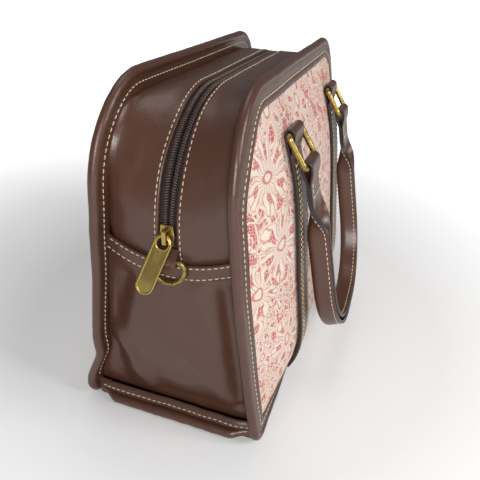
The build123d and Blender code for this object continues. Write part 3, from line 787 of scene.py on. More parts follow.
class HANDBAG_OT_edging(bpy.types.Operator):
    """Roll, border and flange of the leather edging, front and rear, with their stitches"""
    bl_idname = "handbag.edging"
    bl_label = "Rolled edges"

    def execute(self, context):
        centreline = outline(0)
        count = len(centreline)
        leather = [MATERIALS["leather"]]
        around = 16
        line = [settle(Vector((x, -edge_depth(z), z))) for x, z in centreline]
        normals = []
        for j in range(count):
            before, after = centreline[j - 1], centreline[(j + 1) % count]
            dx, dz = after[0] - before[0], after[1] - before[1]
            scale = math.hypot(dx, dz)
            normals.append(Vector((-dz / scale, 0, dx / scale)))

        def roll(i, j):
            """A cord under leather: round, slightly flattened and pinched where the leather gathers."""
            turn = i / around * 2 * math.pi
            p = line[j]
            wrinkle = noise.noise(Vector((p.x / 7 + 40, p.y / 7, p.z / 7)))
            radius = ROLL - 0.25 + 0.22 * wrinkle
            return p + normals[j] * radius * math.cos(turn) + Vector((0, radius * math.sin(turn), 0))

        # Sections of the border and the flange: (in from the roll, out of the surface), with a hollow
        # where the seam pulls the border down
        border_section = [(0.0, 0.6), (2.0, 1.15), (4.0, 1.2), (6.0, 1.2), (8.0, 1.02), (10.0, 1.2),
                          (BORDER - 0.7, 1.1), (BORDER, 0.55), (BORDER - 0.7, -0.2), (8.0, -0.2),
                          (2.0, -0.2), (0.0, -0.2)]
        flange_section = [(1.0, 0.0), (FLANGE * 0.3, 0.1), (FLANGE * 0.6, 0.0), (FLANGE + 1.5, 0.4),
                          (FLANGE + 1.5, 1.8), (FLANGE * 0.6, 1.5), (1.0, 1.5)]
        loops = {inset: outline(inset) for inset, _ in border_section + flange_section}

        def border(i, j):
            inset, out = border_section[i]
            x, z = loops[inset][j]
            return settle(panel_point(x, z, CLOTH + out))

        def flange(i, j):
            inset, back = flange_section[i]
            x, z = loops[inset][j]
            return settle(Vector((x, -(edge_depth(z) - 2.4 + back * 0.9), z)))

        for side, mirror in SIDES:
            pieces = [
                lay_grid(f"{side}_roll", around, count, roll, leather, closed=True, ring=True,
                         mirror=mirror),
                lay_grid(f"{side}_border", len(border_section), count, border, leather, closed=True,
                         ring=True, mirror=mirror),
                lay_grid(f"{side}_flange", len(flange_section), count, flange, leather, closed=True,
                         ring=True, mirror=mirror),
            ]
            finish_piece(pieces[0], "bag", (f"{side}_binding",))
            finish_piece(pieces[1], "bag")
            finish_piece(pieces[2], "bag")
        sewn = []
        for x, z in outline(8.3):
            p = panel_point(x, z, CLOTH + 1.1)
            ahead = panel_point(x + 0.5, z, 0) - panel_point(x - 0.5, z, 0)
            up = panel_point(x, z + 0.5, 0) - panel_point(x, z - 0.5, 0)
            sewn.append((settle(p), ahead.cross(up).normalized()))
        sewn.append(sewn[0])
        inner = [(settle(Vector((x, -(edge_depth(z) - 2.5), z))), Vector((0, 1, 0)))
                 for x, z in outline(6.4)]
        inner = [pair for pair in inner if pair[0].z > 14]
        for side, mirror in SIDES:
            sew(f"{side}_border_stitches", [rear_line(sewn) if mirror else sewn], "bag")
            sew(f"{side}_flange_stitches", [rear_line(inner) if mirror else inner], "bag")
        return {"FINISHED"}


def arch(t, half, top, rx, rz, foot):
    """A point and its outward normal on half an arch, from the near foot (0) to the middle of the top (1)."""
    side, shoulder = 0.08, 0.60
    if t < side:
        return Vector((-half, 0, foot + (top - rz - foot) * t / side)), Vector((-1, 0, 0))
    if t < shoulder:
        turn = (t - side) / (shoulder - side) * math.pi / 2
        normal = Vector((-math.cos(turn) / rx, 0, math.sin(turn) / rz)).normalized()
        return Vector((-half + rx - rx * math.cos(turn), 0, top - rz + rz * math.sin(turn))), normal
    return Vector(((-half + rx) * (1 - (t - shoulder) / (1 - shoulder)), 0, top)), Vector((0, 0, 1))


def gusset_point(t, across, depth):
    """The zip gusset: t from near foot (0) to far foot (2), across from zip (0) to seam (1), depth in mm."""
    far = t > 1
    t = 2 - t if far else t
    radius = TAPE_RADIUS + ZIP_LIP
    middle, normal = arch(t, ARCH_X + radius, ARCH_Z + radius, radius, radius, GUSSET_FOOT)
    edge, edge_normal = arch(t, HALF_LENGTH - FLANGE, TOP - FLANGE, SHOULDER_X - FLANGE,
                             SHOULDER_Z - FLANGE, GUSSET_FOOT)
    sink = across ** 1.9 + 0.35 * smooth(across, 0.90, 1.0)
    p = middle.lerp(edge, sink)
    n = normal.lerp(edge_normal, across).normalized()
    ripple = noise.noise(Vector((p.x / 30, across * 2.2, p.z / 30)))
    y = ZIP_HALF + (edge_depth(edge.z) - WALL_GAP - ZIP_HALF) * across
    # Its foot goes in behind the hem
    tucked = 2.4 * (1 - smooth(p.z - hem_height(y), -2, 9))
    p = p + n * (depth - tucked + 1.1 * ripple * math.sin(math.pi * across))
    return Vector((-p.x if far else p.x, -y, p.z))


class HANDBAG_OT_gusset(bpy.types.Operator):
    """The two leather strips beside the zip, with folded and stitched edges"""
    bl_idname = "handbag.gusset"
    bl_label = "Zip gusset"

    def execute(self, context):
        # Section from the zip to the seam: (share of the way across, height). The lip is folded under
        # and has a groove where its stitches pull it down.
        lip = [(0.16, -2.6), (0.02, -2.6), (0.003, -2.3), (0.0, -1.4), (0.003, -0.5), (0.018, -0.1),
               (0.04, 0.0), (0.055, -0.15), (0.07, 0.0)]
        face = [(0.07 + 0.93 * i / 22, 0.0) for i in range(1, 23)]
        back = [(1.0, -LEATHER), (0.75, -LEATHER), (0.5, -LEATHER), (0.2, -LEATHER)]
        section = lip + face + back
        stations = 220

        def place(i, j):
            across, depth = section[i]
            return settle(gusset_point(j / stations * 2, across, depth))

        stitched = []
        seam = 0.062
        for j in range(401):
            p = gusset_point(j / 400 * 2, seam, 0.0)
            deeper = gusset_point(j / 400 * 2, seam, -1.0)
            stitched.append((settle(p), (p - deeper).normalized()))
        for side, mirror in SIDES:
            piece = lay_grid(f"{side}_gusset_leather", len(section), stations, place, [MATERIALS["leather"]],
                             closed=True, caps=True, mirror=mirror)
            finish_piece(piece, "bag", (f"zip_gusset_{side}",))
            sew(f"{side}_gusset_stitches", [rear_line(stitched) if mirror else stitched], "bag")
        return {"FINISHED"}


class HANDBAG_OT_lining(bpy.types.Operator):
    """Sewn lining: an arched sleeve under the gusset with a front and a rear wall"""
    bl_idname = "handbag.lining"
    bl_label = "Lining"

    def execute(self, context):
        stations, across, rings = 120, 12, 6
        inside = 5.0
        end_x = HALF_LENGTH - FLANGE - 5.5
        lining = [MATERIALS["lining"]]
        loop = outline(FLANGE + 6.5)

        def sleeve(i, j):
            return gusset_point(j / stations * 2, 0.10 + 0.85 * i / across, -4.6)

        def wall(i, j):
            """Rings from the wall's middle, where z is 100, out to its seam."""
            x, z = loop[j]
            share = (i + 0.02) / (rings + 0.02)
            level = 100 + (max(z, LINING_FOOT) - 100) * share
            return Vector((x * share, -(edge_depth(level) - inside), level))

        def end(i, j):
            z = LINING_FOOT + 122.0 * j / 20
            return Vector((-end_x, (2 * i / 20 - 1) * (edge_depth(z) - inside), z))

        def foot(i, j):
            half = edge_depth(LINING_FOOT) - inside
            return Vector(((2 * i / 20 - 1) * end_x, (2 * j / 8 - 1) * half, LINING_FOOT))

        pieces = []
        for mirror in (False, True):
            pieces.append(lay_grid("sleeve", across, stations, sleeve, lining, mirror=mirror))
            pieces.append(lay_grid("lining_wall", rings, len(loop), wall, lining, ring=True, mirror=mirror))
        pieces.append(lay_grid("lining_foot", 20, 8, foot, lining))
        for turned in (False, True):
            pieces.append(lay_grid("lining_end", 20, 20, end, lining, far=turned))
        piece = joined("lining_cloth", pieces)
        thicken(piece, LINING)
        finish_piece(piece, "bag", ("lining",))
        return {"FINISHED"}


# Folds of the end wall, in mm: from y, z to y, z, how wide, and how high out of the wall (in, below 0)
FOLDS = [
    (-36, 132, -51, 22, 6.0, -3.4),
    (-20, 122, -38, 44, 10.0, 2.0),
    (47, 70, 22, 22, 8.0, 2.6),
    (54, 52, 42, 16, 7.0, -2.2),
    (34, 118, 46, 74, 8.0, -2.0),
    (22, 112, 34, 70, 9.0, 1.4),
    (4, 108, -4, 40, 16.0, 1.6),
    (-14, 66, -42, 26, 10.0, 1.6),
    (24, 22, -40, 20, 8.0, -1.4),
]


def fold_at(y, z):
    """Height of the folds at a point of the end wall."""
    total = 0.0
    for y0, z0, y1, z1, width, height in FOLDS:
        dy, dz = y1 - y0, z1 - z0
        along = ((y - y0) * dy + (z - z0) * dz) / (dy * dy + dz * dz)
        held = min(1.0, max(0.0, along))
        away = math.hypot(y - y0 - dy * held, z - z0 - dz * held)
        total += height * math.exp(-(away / width) ** 2)
    return total


def hem_height(y):
    """Upper edge of the end wall's hem, which sags in the middle."""
    return HEM_HIGH - HEM_SAG + HEM_SAG * (y / HEM_SPAN) ** 2


def wall_point(y, z, out, depth):
    """A point of the near end wall: crowned between its seams, with soft folds."""
    across = min(1.0, abs(y) / (edge_depth(z) - WALL_GAP))
    crown = 3.4 * (1 - across ** 2.4)
    fill = 5.0 * math.sin(math.pi * smooth(z, 4, 138)) * (1 - across ** 2)
    faded = smooth(1 - across, 0.0, 0.14) * smooth(z, 6, 22) * (1 - smooth(z, 118, 138))
    tuck = 2.5 * (1 - smooth(z, 8, 26)) * (1 - across ** 4)
    x = HALF_LENGTH - FLANGE + 0.2 + crown + fill - tuck + depth * fold_at(y, z) * faded
    return Vector((-(x + out), y, z))


def hem_point(share, down, out, gap, depth):
    """A point of the hem: share from the front seam (-1) to the rear one (1), down from its upper edge."""
    z = HEM_HIGH
    for _ in range(3):
        y = share * (edge_depth(z) - gap)
        z = hem_height(y) - down
    return settle(wall_point(y, z, out, depth))


def base_wave(y):
    """How the strip along the base waves, from -1 to 1."""
    return noise.noise(Vector((y / 16, 7.0, 0.2)))


def base_tuck(y):
    """How far the ends of that strip draw in, in mm."""
    return 1.5 * smooth(abs(y), 50, 63)


class HANDBAG_OT_end_walls(bpy.types.Operator):
    """Lower end walls with their folds, the sagging hem and the bound seam along the base"""
    bl_idname = "handbag.end_walls"
    bl_label = "End walls"

    def execute(self, context):
        depth = context.scene.handbag_sizes.fold_depth
        leather = [MATERIALS["leather"]]
        columns, rows = 110, 120

        def wall(i, j):
            share = 2 * i / columns - 1
            z = WALL_FOOT
            for _ in range(3):
                y = share * (edge_depth(z) - WALL_GAP)
                z = WALL_FOOT + (hem_height(y) - 1.0 - WALL_FOOT) * j / rows
            return settle(wall_point(share * (edge_depth(z) - WALL_GAP), z, 0.0, depth))

        # Down from the hem's edge, and out of the wall: folded edges with a groove for each seam
        hem_section = [(0.6, 0.0), (0.0, 0.8), (0.3, 1.6), (1.2, 1.95), (2.4, 1.75), (3.4, 1.95),
                       (6.0, 2.0), (8.4, 1.95), (9.6, 1.75), (10.8, 1.85), (HEM_WIDTH - 0.2, 1.4),
                       (HEM_WIDTH, 0.5), (HEM_WIDTH - 0.4, -0.3), (6.0, -0.5)]
        across = 90

        def hem(i, j):
            down, out = hem_section[i]
            return hem_point(2 * j / across - 1, down, out, WALL_GAP, depth)

        roll_turns = 14

        def base_roll(i, j):
            turn = i / roll_turns * 2 * math.pi
            y = (2 * j / BASE_STATIONS - 1) * BASE_ROLL_HALF
            pinch = noise.noise(Vector((y / 6, 3.0, 0.5)))
            radius = ROLL - 0.2 + 0.35 * pinch
            # The ends tuck in behind the rounded corners of the front and rear rolls
            tuck = smooth(abs(y), 46, 61)
            x = -HALF_LENGTH + 6.0 * tuck + radius * math.cos(turn)
            return settle(Vector((x, y, ROLL + 1.6 * tuck + radius * math.sin(turn))))

        # Inwards from the roll's centreline, and up from the floor
        base_section = [(1.2, 2.4), (1.6, 6.0), (2.3, 8.4), (3.4, 10.8), (4.9, 13.0), (5.9, 13.2),
                        (6.4, 12.4), (5.2, 10.0), (3.6, 7.0), (2.8, 3.0)]

        def base_flange(i, j):
            inwards, z = base_section[i]
            y = (2 * j / BASE_STATIONS - 1) * BASE_FLANGE_HALF
            wave = base_wave(y)
            x = -HALF_LENGTH + 0.4 + inwards + 0.5 * wave + base_tuck(y)
            return settle(Vector((x, y, z + 0.4 * wave)))

        lines = []
        for down in (1.9, 9.9):
            lines.append([(hem_point(2 * j / 120 - 1, down, 1.8, 2.5, depth), Vector((-1, 0, 0)))
                          for j in range(121)])
        base_line = []
        for j in range(BASE_STATIONS + 1):
            y = (2 * j / BASE_STATIONS - 1) * BASE_STITCH_HALF
            wave = base_wave(y)
            spot = Vector((-HALF_LENGTH + 3.1 + 0.5 * wave + base_tuck(y), y, 9.6 + 0.4 * wave))
            base_line.append((settle(spot), Vector((-0.9, 0, 0.43))))
        lines.append(base_line)
        for end, turned in (("left", False), ("right", True)):
            sheet = lay_grid(f"{end}_end_wall", columns, rows, wall, leather, far=turned)
            turn_outwards(sheet, Vector((1 if turned else -1, 0, 0)))
            thicken(sheet, LEATHER)
            finish_piece(sheet, "bag", (f"end_gusset_{end}",))
            for part, section, stations, place, nodes in (
                    ("hem", len(hem_section), across, hem, ()),
                    ("base_roll", roll_turns, BASE_STATIONS, base_roll, (f"end_binding_{end}",)),
                    ("base_flange", len(base_section), BASE_STATIONS, base_flange, ())):
                piece = lay_grid(f"{end}_{part}", section, stations, place, leather, closed=True, caps=True,
                                 far=turned)
                finish_piece(piece, "bag", nodes)
            sew(f"{end}_end_stitches", [far_line(line) for line in lines] if turned else lines, "bag")
        return {"FINISHED"}


def zip_station(s):
    """Position, direction and outward normal on the tape, s mm along it from the near end."""
    rise = ARCH_Z - ZIP_FOOT
    bend = TAPE_RADIUS * math.pi / 2
    total = 2 * (rise + bend + ARCH_X)
    far = s > total / 2
    s = total - s if far else s
    if s < rise:
        p = Vector((-ARCH_X - TAPE_RADIUS, 0, ZIP_FOOT + s))
        along, out = Vector((0, 0, 1)), Vector((-1, 0, 0))
    else:
        turn = min(s - rise, bend) / TAPE_RADIUS
        over = max(0.0, s - rise - bend)
        out = Vector((-math.cos(turn), 0, math.sin(turn)))
        along = Vector((math.sin(turn), 0, math.cos(turn)))
        p = Vector((-ARCH_X + over, 0, ARCH_Z)) + out * TAPE_RADIUS
    if far:
        p.x, out.x, along.z = -p.x, -out.x, -along.z
    return p, along, out


class HANDBAG_OT_zip(bpy.types.Operator):
    """Wind the zip's two coils along the tape"""
    bl_idname = "handbag.zip"
    bl_label = "Zip coils"

    def execute(self, context):
        pitch = context.scene.handbag_sizes.coil_pitch
        total = 2 * (ARCH_Z - ZIP_FOOT + TAPE_RADIUS * math.pi / 2 + ARCH_X)
        turns = int(total / pitch)
        per_turn = 10
        sides = 5
        wire = 0.52

        def coil(i, j):
            turn = j / per_turn * 2 * math.pi
            p, along, out = zip_station(j / per_turn * pitch + 0.3)
            across = Vector((0, -1, 0))
            ring = across * math.cos(turn) + out * math.sin(turn)
            centre = p + across * (2.4 + 1.4 * math.cos(turn)) + out * (1.2 + 0.60 * math.sin(turn))
            round_wire = i / sides * 2 * math.pi
            return centre + ring * wire * math.cos(round_wire) + along * wire * math.sin(round_wire)

        for side, mirror in SIDES:
            piece = lay_grid(f"{side}_coil", sides, turns * per_turn, coil, [MATERIALS["coil"]],
                             closed=True, caps=True, angle=80, mirror=mirror)
            finish_piece(piece, "bag", (f"zip_teeth_{side}",))
        return {"FINISHED"}


class HANDBAG_OT_pull(bpy.types.Operator):
    """Cast the zip pull: a bare plate with a raised rim and a ringed eye"""
    bl_idname = "handbag.pull"
    bl_label = "Zip pull"

    def execute(self, context):
        out = PULL_DOWN.cross(PULL_ACROSS)
        around = 64

        def edge(j, inset):
            """A point of the plate's outline, evenly round it: two half circles and two straights."""
            radius = PULL_HALF - inset
            low = PULL_LENGTH - PULL_HALF
            straight = low - EYE_DOWN
            bend = math.pi * PULL_HALF
            s = j / around * 2 * (straight + bend)
            if s < bend:
                turn = s / PULL_HALF
                return -radius * math.cos(turn), EYE_DOWN - radius * math.sin(turn)
            if s < bend + straight:
                return radius, EYE_DOWN + s - bend
            if s < 2 * bend + straight:
                turn = (s - bend - straight) / PULL_HALF
                return radius * math.cos(turn), low + radius * math.sin(turn)
            return -radius, low - (s - 2 * bend - straight)

        def spot(across, down, height):
            return PULL_HINGE + PULL_ACROSS * across + PULL_DOWN * down + out * height

        # In from the edge, and height
        rim_section = [(0.0, -0.5), (0.0, 0.5), (0.35, 0.95), (0.9, 1.0), (1.45, 0.8), (1.6, 0.3),
                       (1.6, -0.3), (1.45, -0.8), (0.9, -1.0), (0.35, -0.95)]

        def rim(i, j):
            inset, height = rim_section[i]
            return spot(*edge(j, inset), height)

        # Share of the way from the eye to the rim, and height
        plate_section = [(0.0, 0.5), (0.35, 0.5), (0.7, 0.5), (1.0, 0.5), (1.0, -0.5), (0.7, -0.5),
                         (0.35, -0.5), (0.0, -0.5)]

        def plate(i, j):
            share, height = plate_section[i]
            a, d = edge(j, 1.2)
            turn = math.atan2(EYE_DOWN + 2 - d, -a)
            a0 = -(EYE_RADIUS + 0.2) * math.cos(turn)
            d0 = EYE_DOWN - (EYE_RADIUS + 0.2) * math.sin(turn)
            return spot(a0 + (a - a0) * share, d0 + (d - d0) * share, height)

        eye_turns, tube_turns = 40, 10

        def eye(i, j):
            turn, tube = j / eye_turns * 2 * math.pi, i / tube_turns * 2 * math.pi
            radius = EYE_RADIUS + 0.75 + 0.8 * math.cos(tube)
            return spot(radius * math.cos(turn), EYE_DOWN + radius * math.sin(turn), 0.95 * math.sin(tube))

        brass = [MATERIALS["brass"]]
        pieces = [
            lay_grid("zip_pull_plate", len(plate_section), around, plate, [MATERIALS["aged"]],
                     closed=True, ring=True),
            lay_grid("pull_rim", len(rim_section), around, rim, brass, closed=True, ring=True),
            lay_grid("pull_eye", tube_turns, eye_turns, eye, brass, closed=True, ring=True),
        ]
        finish_piece(joined("zip_pull_plate", pieces), "zip_pull", ("zip_pull",))
        return {"FINISHED"}


def painted(count):
    """The faces near a strap's cut edges get edge paint."""
    def choose(i, j):
        return 1 if any(abs(i - tip) < 1.2 or abs(i - tip - count) < 1.2 for tip in STRAP_TIPS) else 0
    return choose


def strap_section(width, thickness, crown):
    """Half-round-edged strip: (sideways, outwards) all round, starting and turning at its cut edges."""
    half = width / 2
    t = thickness / 2
    top = [(-half, 0), (-half + 0.25, t * 0.72), (-half + 0.8, t), (-half + 2.4, t + crown * 0.4),
           (-half / 2, t + crown), (0, t + crown), (half / 2, t + crown), (half - 2.4, t + crown * 0.4),
           (half - 0.8, t), (half - 0.25, t * 0.72), (half, 0)]
    low = [(a, -b if abs(b) < t else -t) for a, b in top[-2:0:-1]]
    return top + low


def sweep_strap(name, stations, sections, mirror, material_list, paint):
    """Carry sections along stations of (origin, sideways, outwards)."""
    count = len(sections[0])

    def place(i, j):
        origin, sideways, outwards = stations[j]
        a, b = sections[j][i]
        return origin + sideways * a + outwards * b

    return lay_grid(name, count, len(stations) - 1, place, material_list, closed=True, caps=True,
                    paint=paint, mirror=mirror)


def ribbon(path):
    """Stations of a strip as wide as a strap, laid along a path of points."""
    stations = []
    for k, p in enumerate(path):
        before, after = path[max(0, k - 1)], path[min(len(path) - 1, k + 1)]
        stations.append((p, SIDEWAYS, SIDEWAYS.cross((after - before).normalized())))
    return stations


class HANDBAG_OT_straps(bpy.types.Operator):
    """The four straps sewn down the panels, each folded over its ring"""
    bl_idname = "handbag.straps"
    bl_label = "Straps"

    def execute(self, context):
        finish = [MATERIALS["leather"], MATERIALS["edge"]]
        head = RING_Z - 13
        half = STRAP_THICKNESS / 2
        section = strap_section(STRAP_WIDTH, STRAP_THICKNESS, 0.35)
        strip = strap_section(STRAP_WIDTH, 1.5, 0.0)
        loop_radius = RING_WIRE + RING_CLEARANCE + 0.8
        # The seams run at these places across the strap, in mm from its middle
        outer, inner = 10.6, 6.6
        for side, mirror in SIDES:
            for end, x in (("left", -STRAP_X), ("right", STRAP_X)):
                stations = []
                for j in range(91):
                    z = STRAP_FOOT + (head - STRAP_FOOT) * j / 90
                    p = panel_point(x, z, CLOTH + 0.2 + half)
                    slope = (panel_point(x, z + 1, 0) - panel_point(x, z - 1, 0)).normalized()
                    stations.append((settle(p), SIDEWAYS, slope.cross(SIDEWAYS) * -1))
                pieces = [sweep_strap(f"{side}_strap_{end}_leather", stations, [section] * len(stations),
                                      mirror, finish, painted(len(section)))]
                # The loop: up from the strap's face, over the ring and down behind the strap
                top, _, out = stations[-1]
                centre = Vector((x, RING_Y, RING_Z))
                path = []
                for k in range(12):
                    start = top + out * (0.75 + 0.05 * k)
                    spot = start.lerp(centre + Vector((0, -loop_radius, -1.0)), k / 12)
                    path.append(spot + out * 0.4 * math.sin(math.pi * k / 12))
                for k in range(25):
                    turn = -0.15 + (math.pi + 0.3) * k / 24
                    spot = Vector((0, -loop_radius * math.cos(turn), loop_radius * math.sin(turn)))
                    path.append(centre + spot)
                for k in range(1, 13):
                    path.append((centre + Vector((0, loop_radius, -1.0))).lerp(top - out * 0.75, k / 12))
                pieces.append(sweep_strap(f"{side}_loop_{end}", ribbon(path), [strip] * len(path), mirror,
                                          finish, painted(len(strip))))
                piece = joined(f"{side}_strap_{end}_leather", pieces)
                finish_piece(piece, "bag", (f"{side}_strap_{end}",))
                lines = []
                for offset in (-outer, -inner, inner, outer):
                    lines.append([(p + Vector((offset, 0, 0)) + o * (half + 0.25), o)
                                  for p, _, o in stations[:-1] if p.z < head - 3])
                # The seam across, just below the loop
                p, _, o = stations[86]
                lines.append([(p + Vector((-outer + 2 * outer * k / 12, 0, 0)) + o * (half + 0.3), o)
                              for k in range(13)])
                if mirror:
                    lines = [rear_line(line) for line in lines]
                sew(f"{side}_strap_{end}_stitches", lines, "bag")
        return {"FINISHED"}


def folded_strap(fold):
    """Half width and thickness of a handle's strap, flat where fold is 0 and folded where it is 1."""
    return 13.0 + 5.2 * fold, 3.6 - 0.9 * fold


def fold_profile(fold, wing):
    """Middle line of a strap folded lengthwise, edge to edge: (sideways, outwards, direction)."""
    half = []
    a = n = 0.0
    step = wing / FOLD_STEPS
    for i in range(FOLD_STEPS + 1):
        reach = min(1.0, i * step / FOLD_BEND)
        angle = fold * FOLD_ANGLE * reach * reach * (3 - 2 * reach)
        half.append((a, n, angle))
        a += math.cos(angle) * step
        n += math.sin(angle) * step
    return [(-p, q, -t) for p, q, t in half[:0:-1]] + half


def folded_section(fold):
    """Outline of the folded strap: its outer face, and back along its inner face."""
    wing, thickness = folded_strap(fold)
    middle = fold_profile(fold, wing)
    t = thickness / 2
    drop = fold * (FOLD_CENTRE - t)
    outer = [(a + math.sin(angle) * t, n - drop - math.cos(angle) * t) for a, n, angle in middle]
    inner = [(a - math.sin(angle) * t, n - drop + math.cos(angle) * t) for a, n, angle in middle[::-1]]
    return outer + inner


def handle_path():
    """Stations down the left leg, round the U and up the right leg: (origin, inwards, outwards)."""
    top = Vector((0, RING_LOW_Y, RING_LOW_Z))
    flat = [(-STRAP_X, HANDLE_START + i * 2.0)
            for i in range(int((HANDLE_DROP - HANDLE_CORNER - HANDLE_START) / 2))]
    for i in range(25):
        turn = i / 24 * math.pi / 2
        flat.append((-STRAP_X + HANDLE_CORNER * (1 - math.cos(turn)),
                     HANDLE_DROP - HANDLE_CORNER + HANDLE_CORNER * math.sin(turn)))
    flat += [(-STRAP_X + HANDLE_CORNER + (STRAP_X - HANDLE_CORNER) * i / 4, HANDLE_DROP)
             for i in range(1, 4)]
    flat += [(0.0, HANDLE_DROP)] + [(-x, d) for x, d in flat[::-1]]
    stations = []
    for k, (x, d) in enumerate(flat):
        before, after = flat[max(0, k - 1)], flat[min(len(flat) - 1, k + 1)]
        dx, dd = after[0] - before[0], after[1] - before[1]
        length = math.hypot(dx, dd)
        inwards = (SIDEWAYS * dd + HANDLE_DOWN * -dx) / length
        # The legs bow inwards by up to 3 mm
        share = min(1.0, max(0.0, (d - HANDLE_START) / (HANDLE_DROP - HANDLE_START)))
        bow = -3.0 * math.sin(math.pi * share) * (1 if x < 0 else -1)
        shift = bow * smooth(d, 20, 60) if abs(x) > 12 else 0
        stations.append((top + Vector((x - shift, 0, 0)) + HANDLE_DOWN * d, inwards, HANDLE_OUT, d))
    return stations


class HANDBAG_OT_handles(bpy.types.Operator):
    """The two handles: flat looped ends, folded lengthwise between, edges outwards"""
    bl_idname = "handbag.handles"
    bl_label = "Handles"

    def execute(self, context):
        finish = [MATERIALS["leather"], MATERIALS["edge"]]
        path = handle_path()
        folds = [smooth(d, HANDLE_FLAT, HANDLE_FOLD_END) for _, _, _, d in path]
        sections = [folded_section(fold) for fold in folds]
        count = len(sections[0])
        stations = [(p, a, o) for p, a, o, _ in path]
        strip = strap_section(STRAP_WIDTH, 1.8, 0.0)
        radius = RING_WIRE + RING_CLEARANCE + 0.9

        def paint(i, j):
            return 1 if i < 0.01 or i > count - 1.1 or abs(i - (count / 2 - 0.5)) < 0.6 else 0

        for side, mirror in SIDES:
            pieces = [sweep_strap(f"{side}_handle_leather", stations, sections, mirror, finish, paint)]
            lines = []
            for x in (-STRAP_X, STRAP_X):
                # The loop: up the outer face, over the ring's lower bar and down the inner face
                centre = Vector((x, RING_LOW_Y, RING_LOW_Z))
                loop = []
                for k in range(11):
                    rise = 0.9 + (radius - 0.9) * smooth(k, 1, 10)
                    loop.append(centre + HANDLE_DOWN * (15.0 - 12.5 * k / 10) + HANDLE_OUT * rise)
                for k in range(1, 20):
                    turn = math.pi * k / 20
                    loop.append(centre + HANDLE_OUT * radius * math.cos(turn)
                                - HANDLE_DOWN * radius * math.sin(turn))
                for k in range(11):
                    rise = 0.9 + (radius - 0.9) * smooth(10 - k, 1, 10)
                    loop.append(centre + HANDLE_DOWN * (2.5 + 12.5 * k / 10) - HANDLE_OUT * rise)
                pieces.append(sweep_strap(f"{side}_handle_loop", ribbon(loop), [strip] * len(loop), mirror,
                                          finish, painted(len(strip))))
                # The sewn rectangle that holds the loop
                face = centre + HANDLE_OUT * 2.1
                corners = [(-10.4, 7.5), (10.4, 7.5), (10.4, 22.0), (-10.4, 22.0), (-10.4, 7.5)]
                line = []
                for (a0, d0), (a1, d1) in zip(corners, corners[1:]):
                    for k in range(8):
                        spot = face + Vector((a0 + (a1 - a0) * k / 8, 0, 0))
                        line.append((spot + HANDLE_DOWN * (d0 + (d1 - d0) * k / 8), HANDLE_OUT))
                lines.append(line)
            # Stitches on both faces of the folded part, close to its painted edges
            for place in (2, -3):
                line = []
                for (origin, inwards, outwards, d), fold in zip(path, folds):
                    if d < HANDLE_FLAT + 4:
                        continue
                    wing, thickness = folded_strap(fold)
                    a, n, angle = fold_profile(fold, wing)[place]
                    drop = fold * (FOLD_CENTRE - thickness / 2)
                    normal = inwards * math.sin(angle) - outwards * math.cos(angle)
                    spot = origin + inwards * a + outwards * (n - drop)
                    line.append((spot + normal * (thickness / 2 + 0.05), normal))
                lines.append(line)
            piece = joined(f"{side}_handle_leather", pieces)
            finish_piece(piece, f"{side}_handle", (f"{side}_handle",))
            if mirror:
                lines = [rear_line(line) for line in lines]
            sew(f"{side}_handle_stitches", lines, f"{side}_handle")
        return {"FINISHED"}


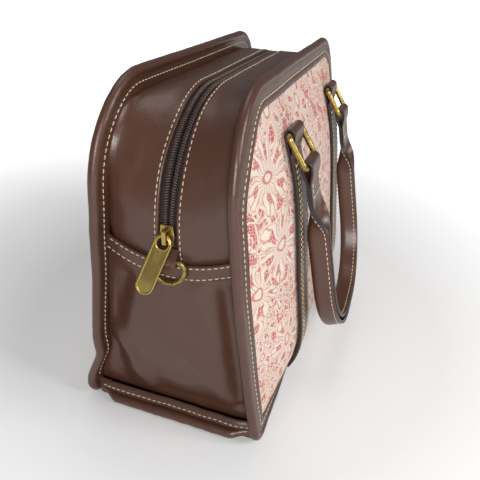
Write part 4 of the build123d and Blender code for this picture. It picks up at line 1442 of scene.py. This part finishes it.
class HANDBAG_OT_stage(bpy.types.Operator):
    """Floor, soft studio light and the camera at the photograph's angle"""
    bl_idname = "handbag.stage"
    bl_label = "Stage"

    def execute(self, context):
        deselect()
        bpy.ops.mesh.primitive_plane_add(size=60, location=(0, 0, 0))
        floor = context.object
        floor.name = "floor"
        floor.data.materials.append(painted_floor("white_paper", linear("f4f4f4"), 0.03))
        level = math.cos(CAMERA_PITCH)
        ahead = Vector((math.cos(CAMERA_YAW) * level, math.sin(CAMERA_YAW) * level, math.sin(CAMERA_PITCH)))
        right = ahead.cross(Vector((0, 0, 1))).normalized()
        up = right.cross(ahead)
        turned_right = right * math.cos(CAMERA_ROLL) + up * math.sin(CAMERA_ROLL)
        turned_up = up * math.cos(CAMERA_ROLL) - right * math.sin(CAMERA_ROLL)
        bpy.ops.object.camera_add()
        camera = context.object
        camera.name = "camera"
        axes = Matrix((turned_right, turned_up, -ahead)).transposed()
        camera.matrix_world = Matrix.Translation(Vector(CAMERA_SPOT)) @ axes.to_4x4()
        camera.data.sensor_width = SENSOR_WIDTH
        camera.data.lens = SENSOR_WIDTH * FOCAL_PIXELS / PICTURE_PIXELS
        camera.data.clip_start = 0.01
        context.scene.camera = camera
        # Name, place and size in m, power in W
        lamps = (
            ("key", (-0.10, -1.30, 0.95), 0.6, 11.0),
            ("end", (-1.30, -0.45, 0.70), 0.45, 14.0),
            ("top", (0.25, 0.2, 1.5), 0.7, 3.0),
        )
        for name, spot, size, power in lamps:
            bpy.ops.object.light_add(type="AREA", location=spot)
            lamp = context.object
            lamp.name = name
            lamp.data.size = size
            lamp.data.energy = power
            aim = Vector((0, 0, 0.1)) - Vector(spot)
            lamp.rotation_euler = aim.to_track_quat("-Z", "Y").to_euler()
        world = bpy.data.worlds.new("studio")
        context.scene.world = world
        world.use_nodes = True
        tree = world.node_tree
        tree.nodes.clear()
        path = add_node(tree, "ShaderNodeLightPath")
        seen = maths(tree, "MAXIMUM", path.outputs["Is Camera Ray"], path.outputs["Is Transmission Ray"])
        strength = mapped(tree, seen, 0.0, 1.0, 0.17, 1.0)
        sky = add_node(tree, "ShaderNodeBackground", (1.0, 1.0, 1.0, 1.0), strength)
        add_node(tree, "ShaderNodeOutputWorld", sky)
        context.scene.view_settings.view_transform = "Standard"
        return {"FINISHED"}


class HANDBAG_PT_panel(bpy.types.Panel):
    """The handbag's pieces"""
    bl_idname = "HANDBAG_PT_panel"
    bl_label = "Handbag"
    bl_space_type = "VIEW_3D"
    bl_region_type = "UI"
    bl_category = "Handbag"

    def draw(self, context):
        for group in (context.scene.handbag_sizes, context.scene.handbag_colours):
            for name in group.__annotations__:
                self.layout.prop(group, name)
        for step in OPERATORS:
            self.layout.operator(step.bl_idname)


OPERATORS = (
    HANDBAG_OT_materials, HANDBAG_OT_cloth, HANDBAG_OT_edging, HANDBAG_OT_gusset, HANDBAG_OT_lining,
    HANDBAG_OT_end_walls, HANDBAG_OT_zip, HANDBAG_OT_pull, HANDBAG_OT_straps, HANDBAG_OT_handles,
    HANDBAG_OT_stage,
)
CLASSES = (HandbagSizes, HandbagColours, *OPERATORS, HANDBAG_PT_panel)


def register():
    for cls in CLASSES:
        bpy.utils.register_class(cls)
    bpy.types.Scene.handbag_sizes = bpy.props.PointerProperty(type=HandbagSizes)
    bpy.types.Scene.handbag_colours = bpy.props.PointerProperty(type=HandbagColours)


def unregister():
    del bpy.types.Scene.handbag_colours
    del bpy.types.Scene.handbag_sizes
    for cls in reversed(CLASSES):
        bpy.utils.unregister_class(cls)


def main():
    register()
    bpy.ops.handbag.materials()
    bpy.ops.handbag.cloth()
    bpy.ops.handbag.edging()
    bpy.ops.handbag.gusset()
    bpy.ops.handbag.lining()
    bpy.ops.handbag.end_walls()
    bpy.ops.handbag.zip()
    bpy.ops.handbag.pull()
    bpy.ops.handbag.straps()
    bpy.ops.handbag.handles()
    bpy.ops.handbag.stage()


if __name__ == "__main__":
    main()
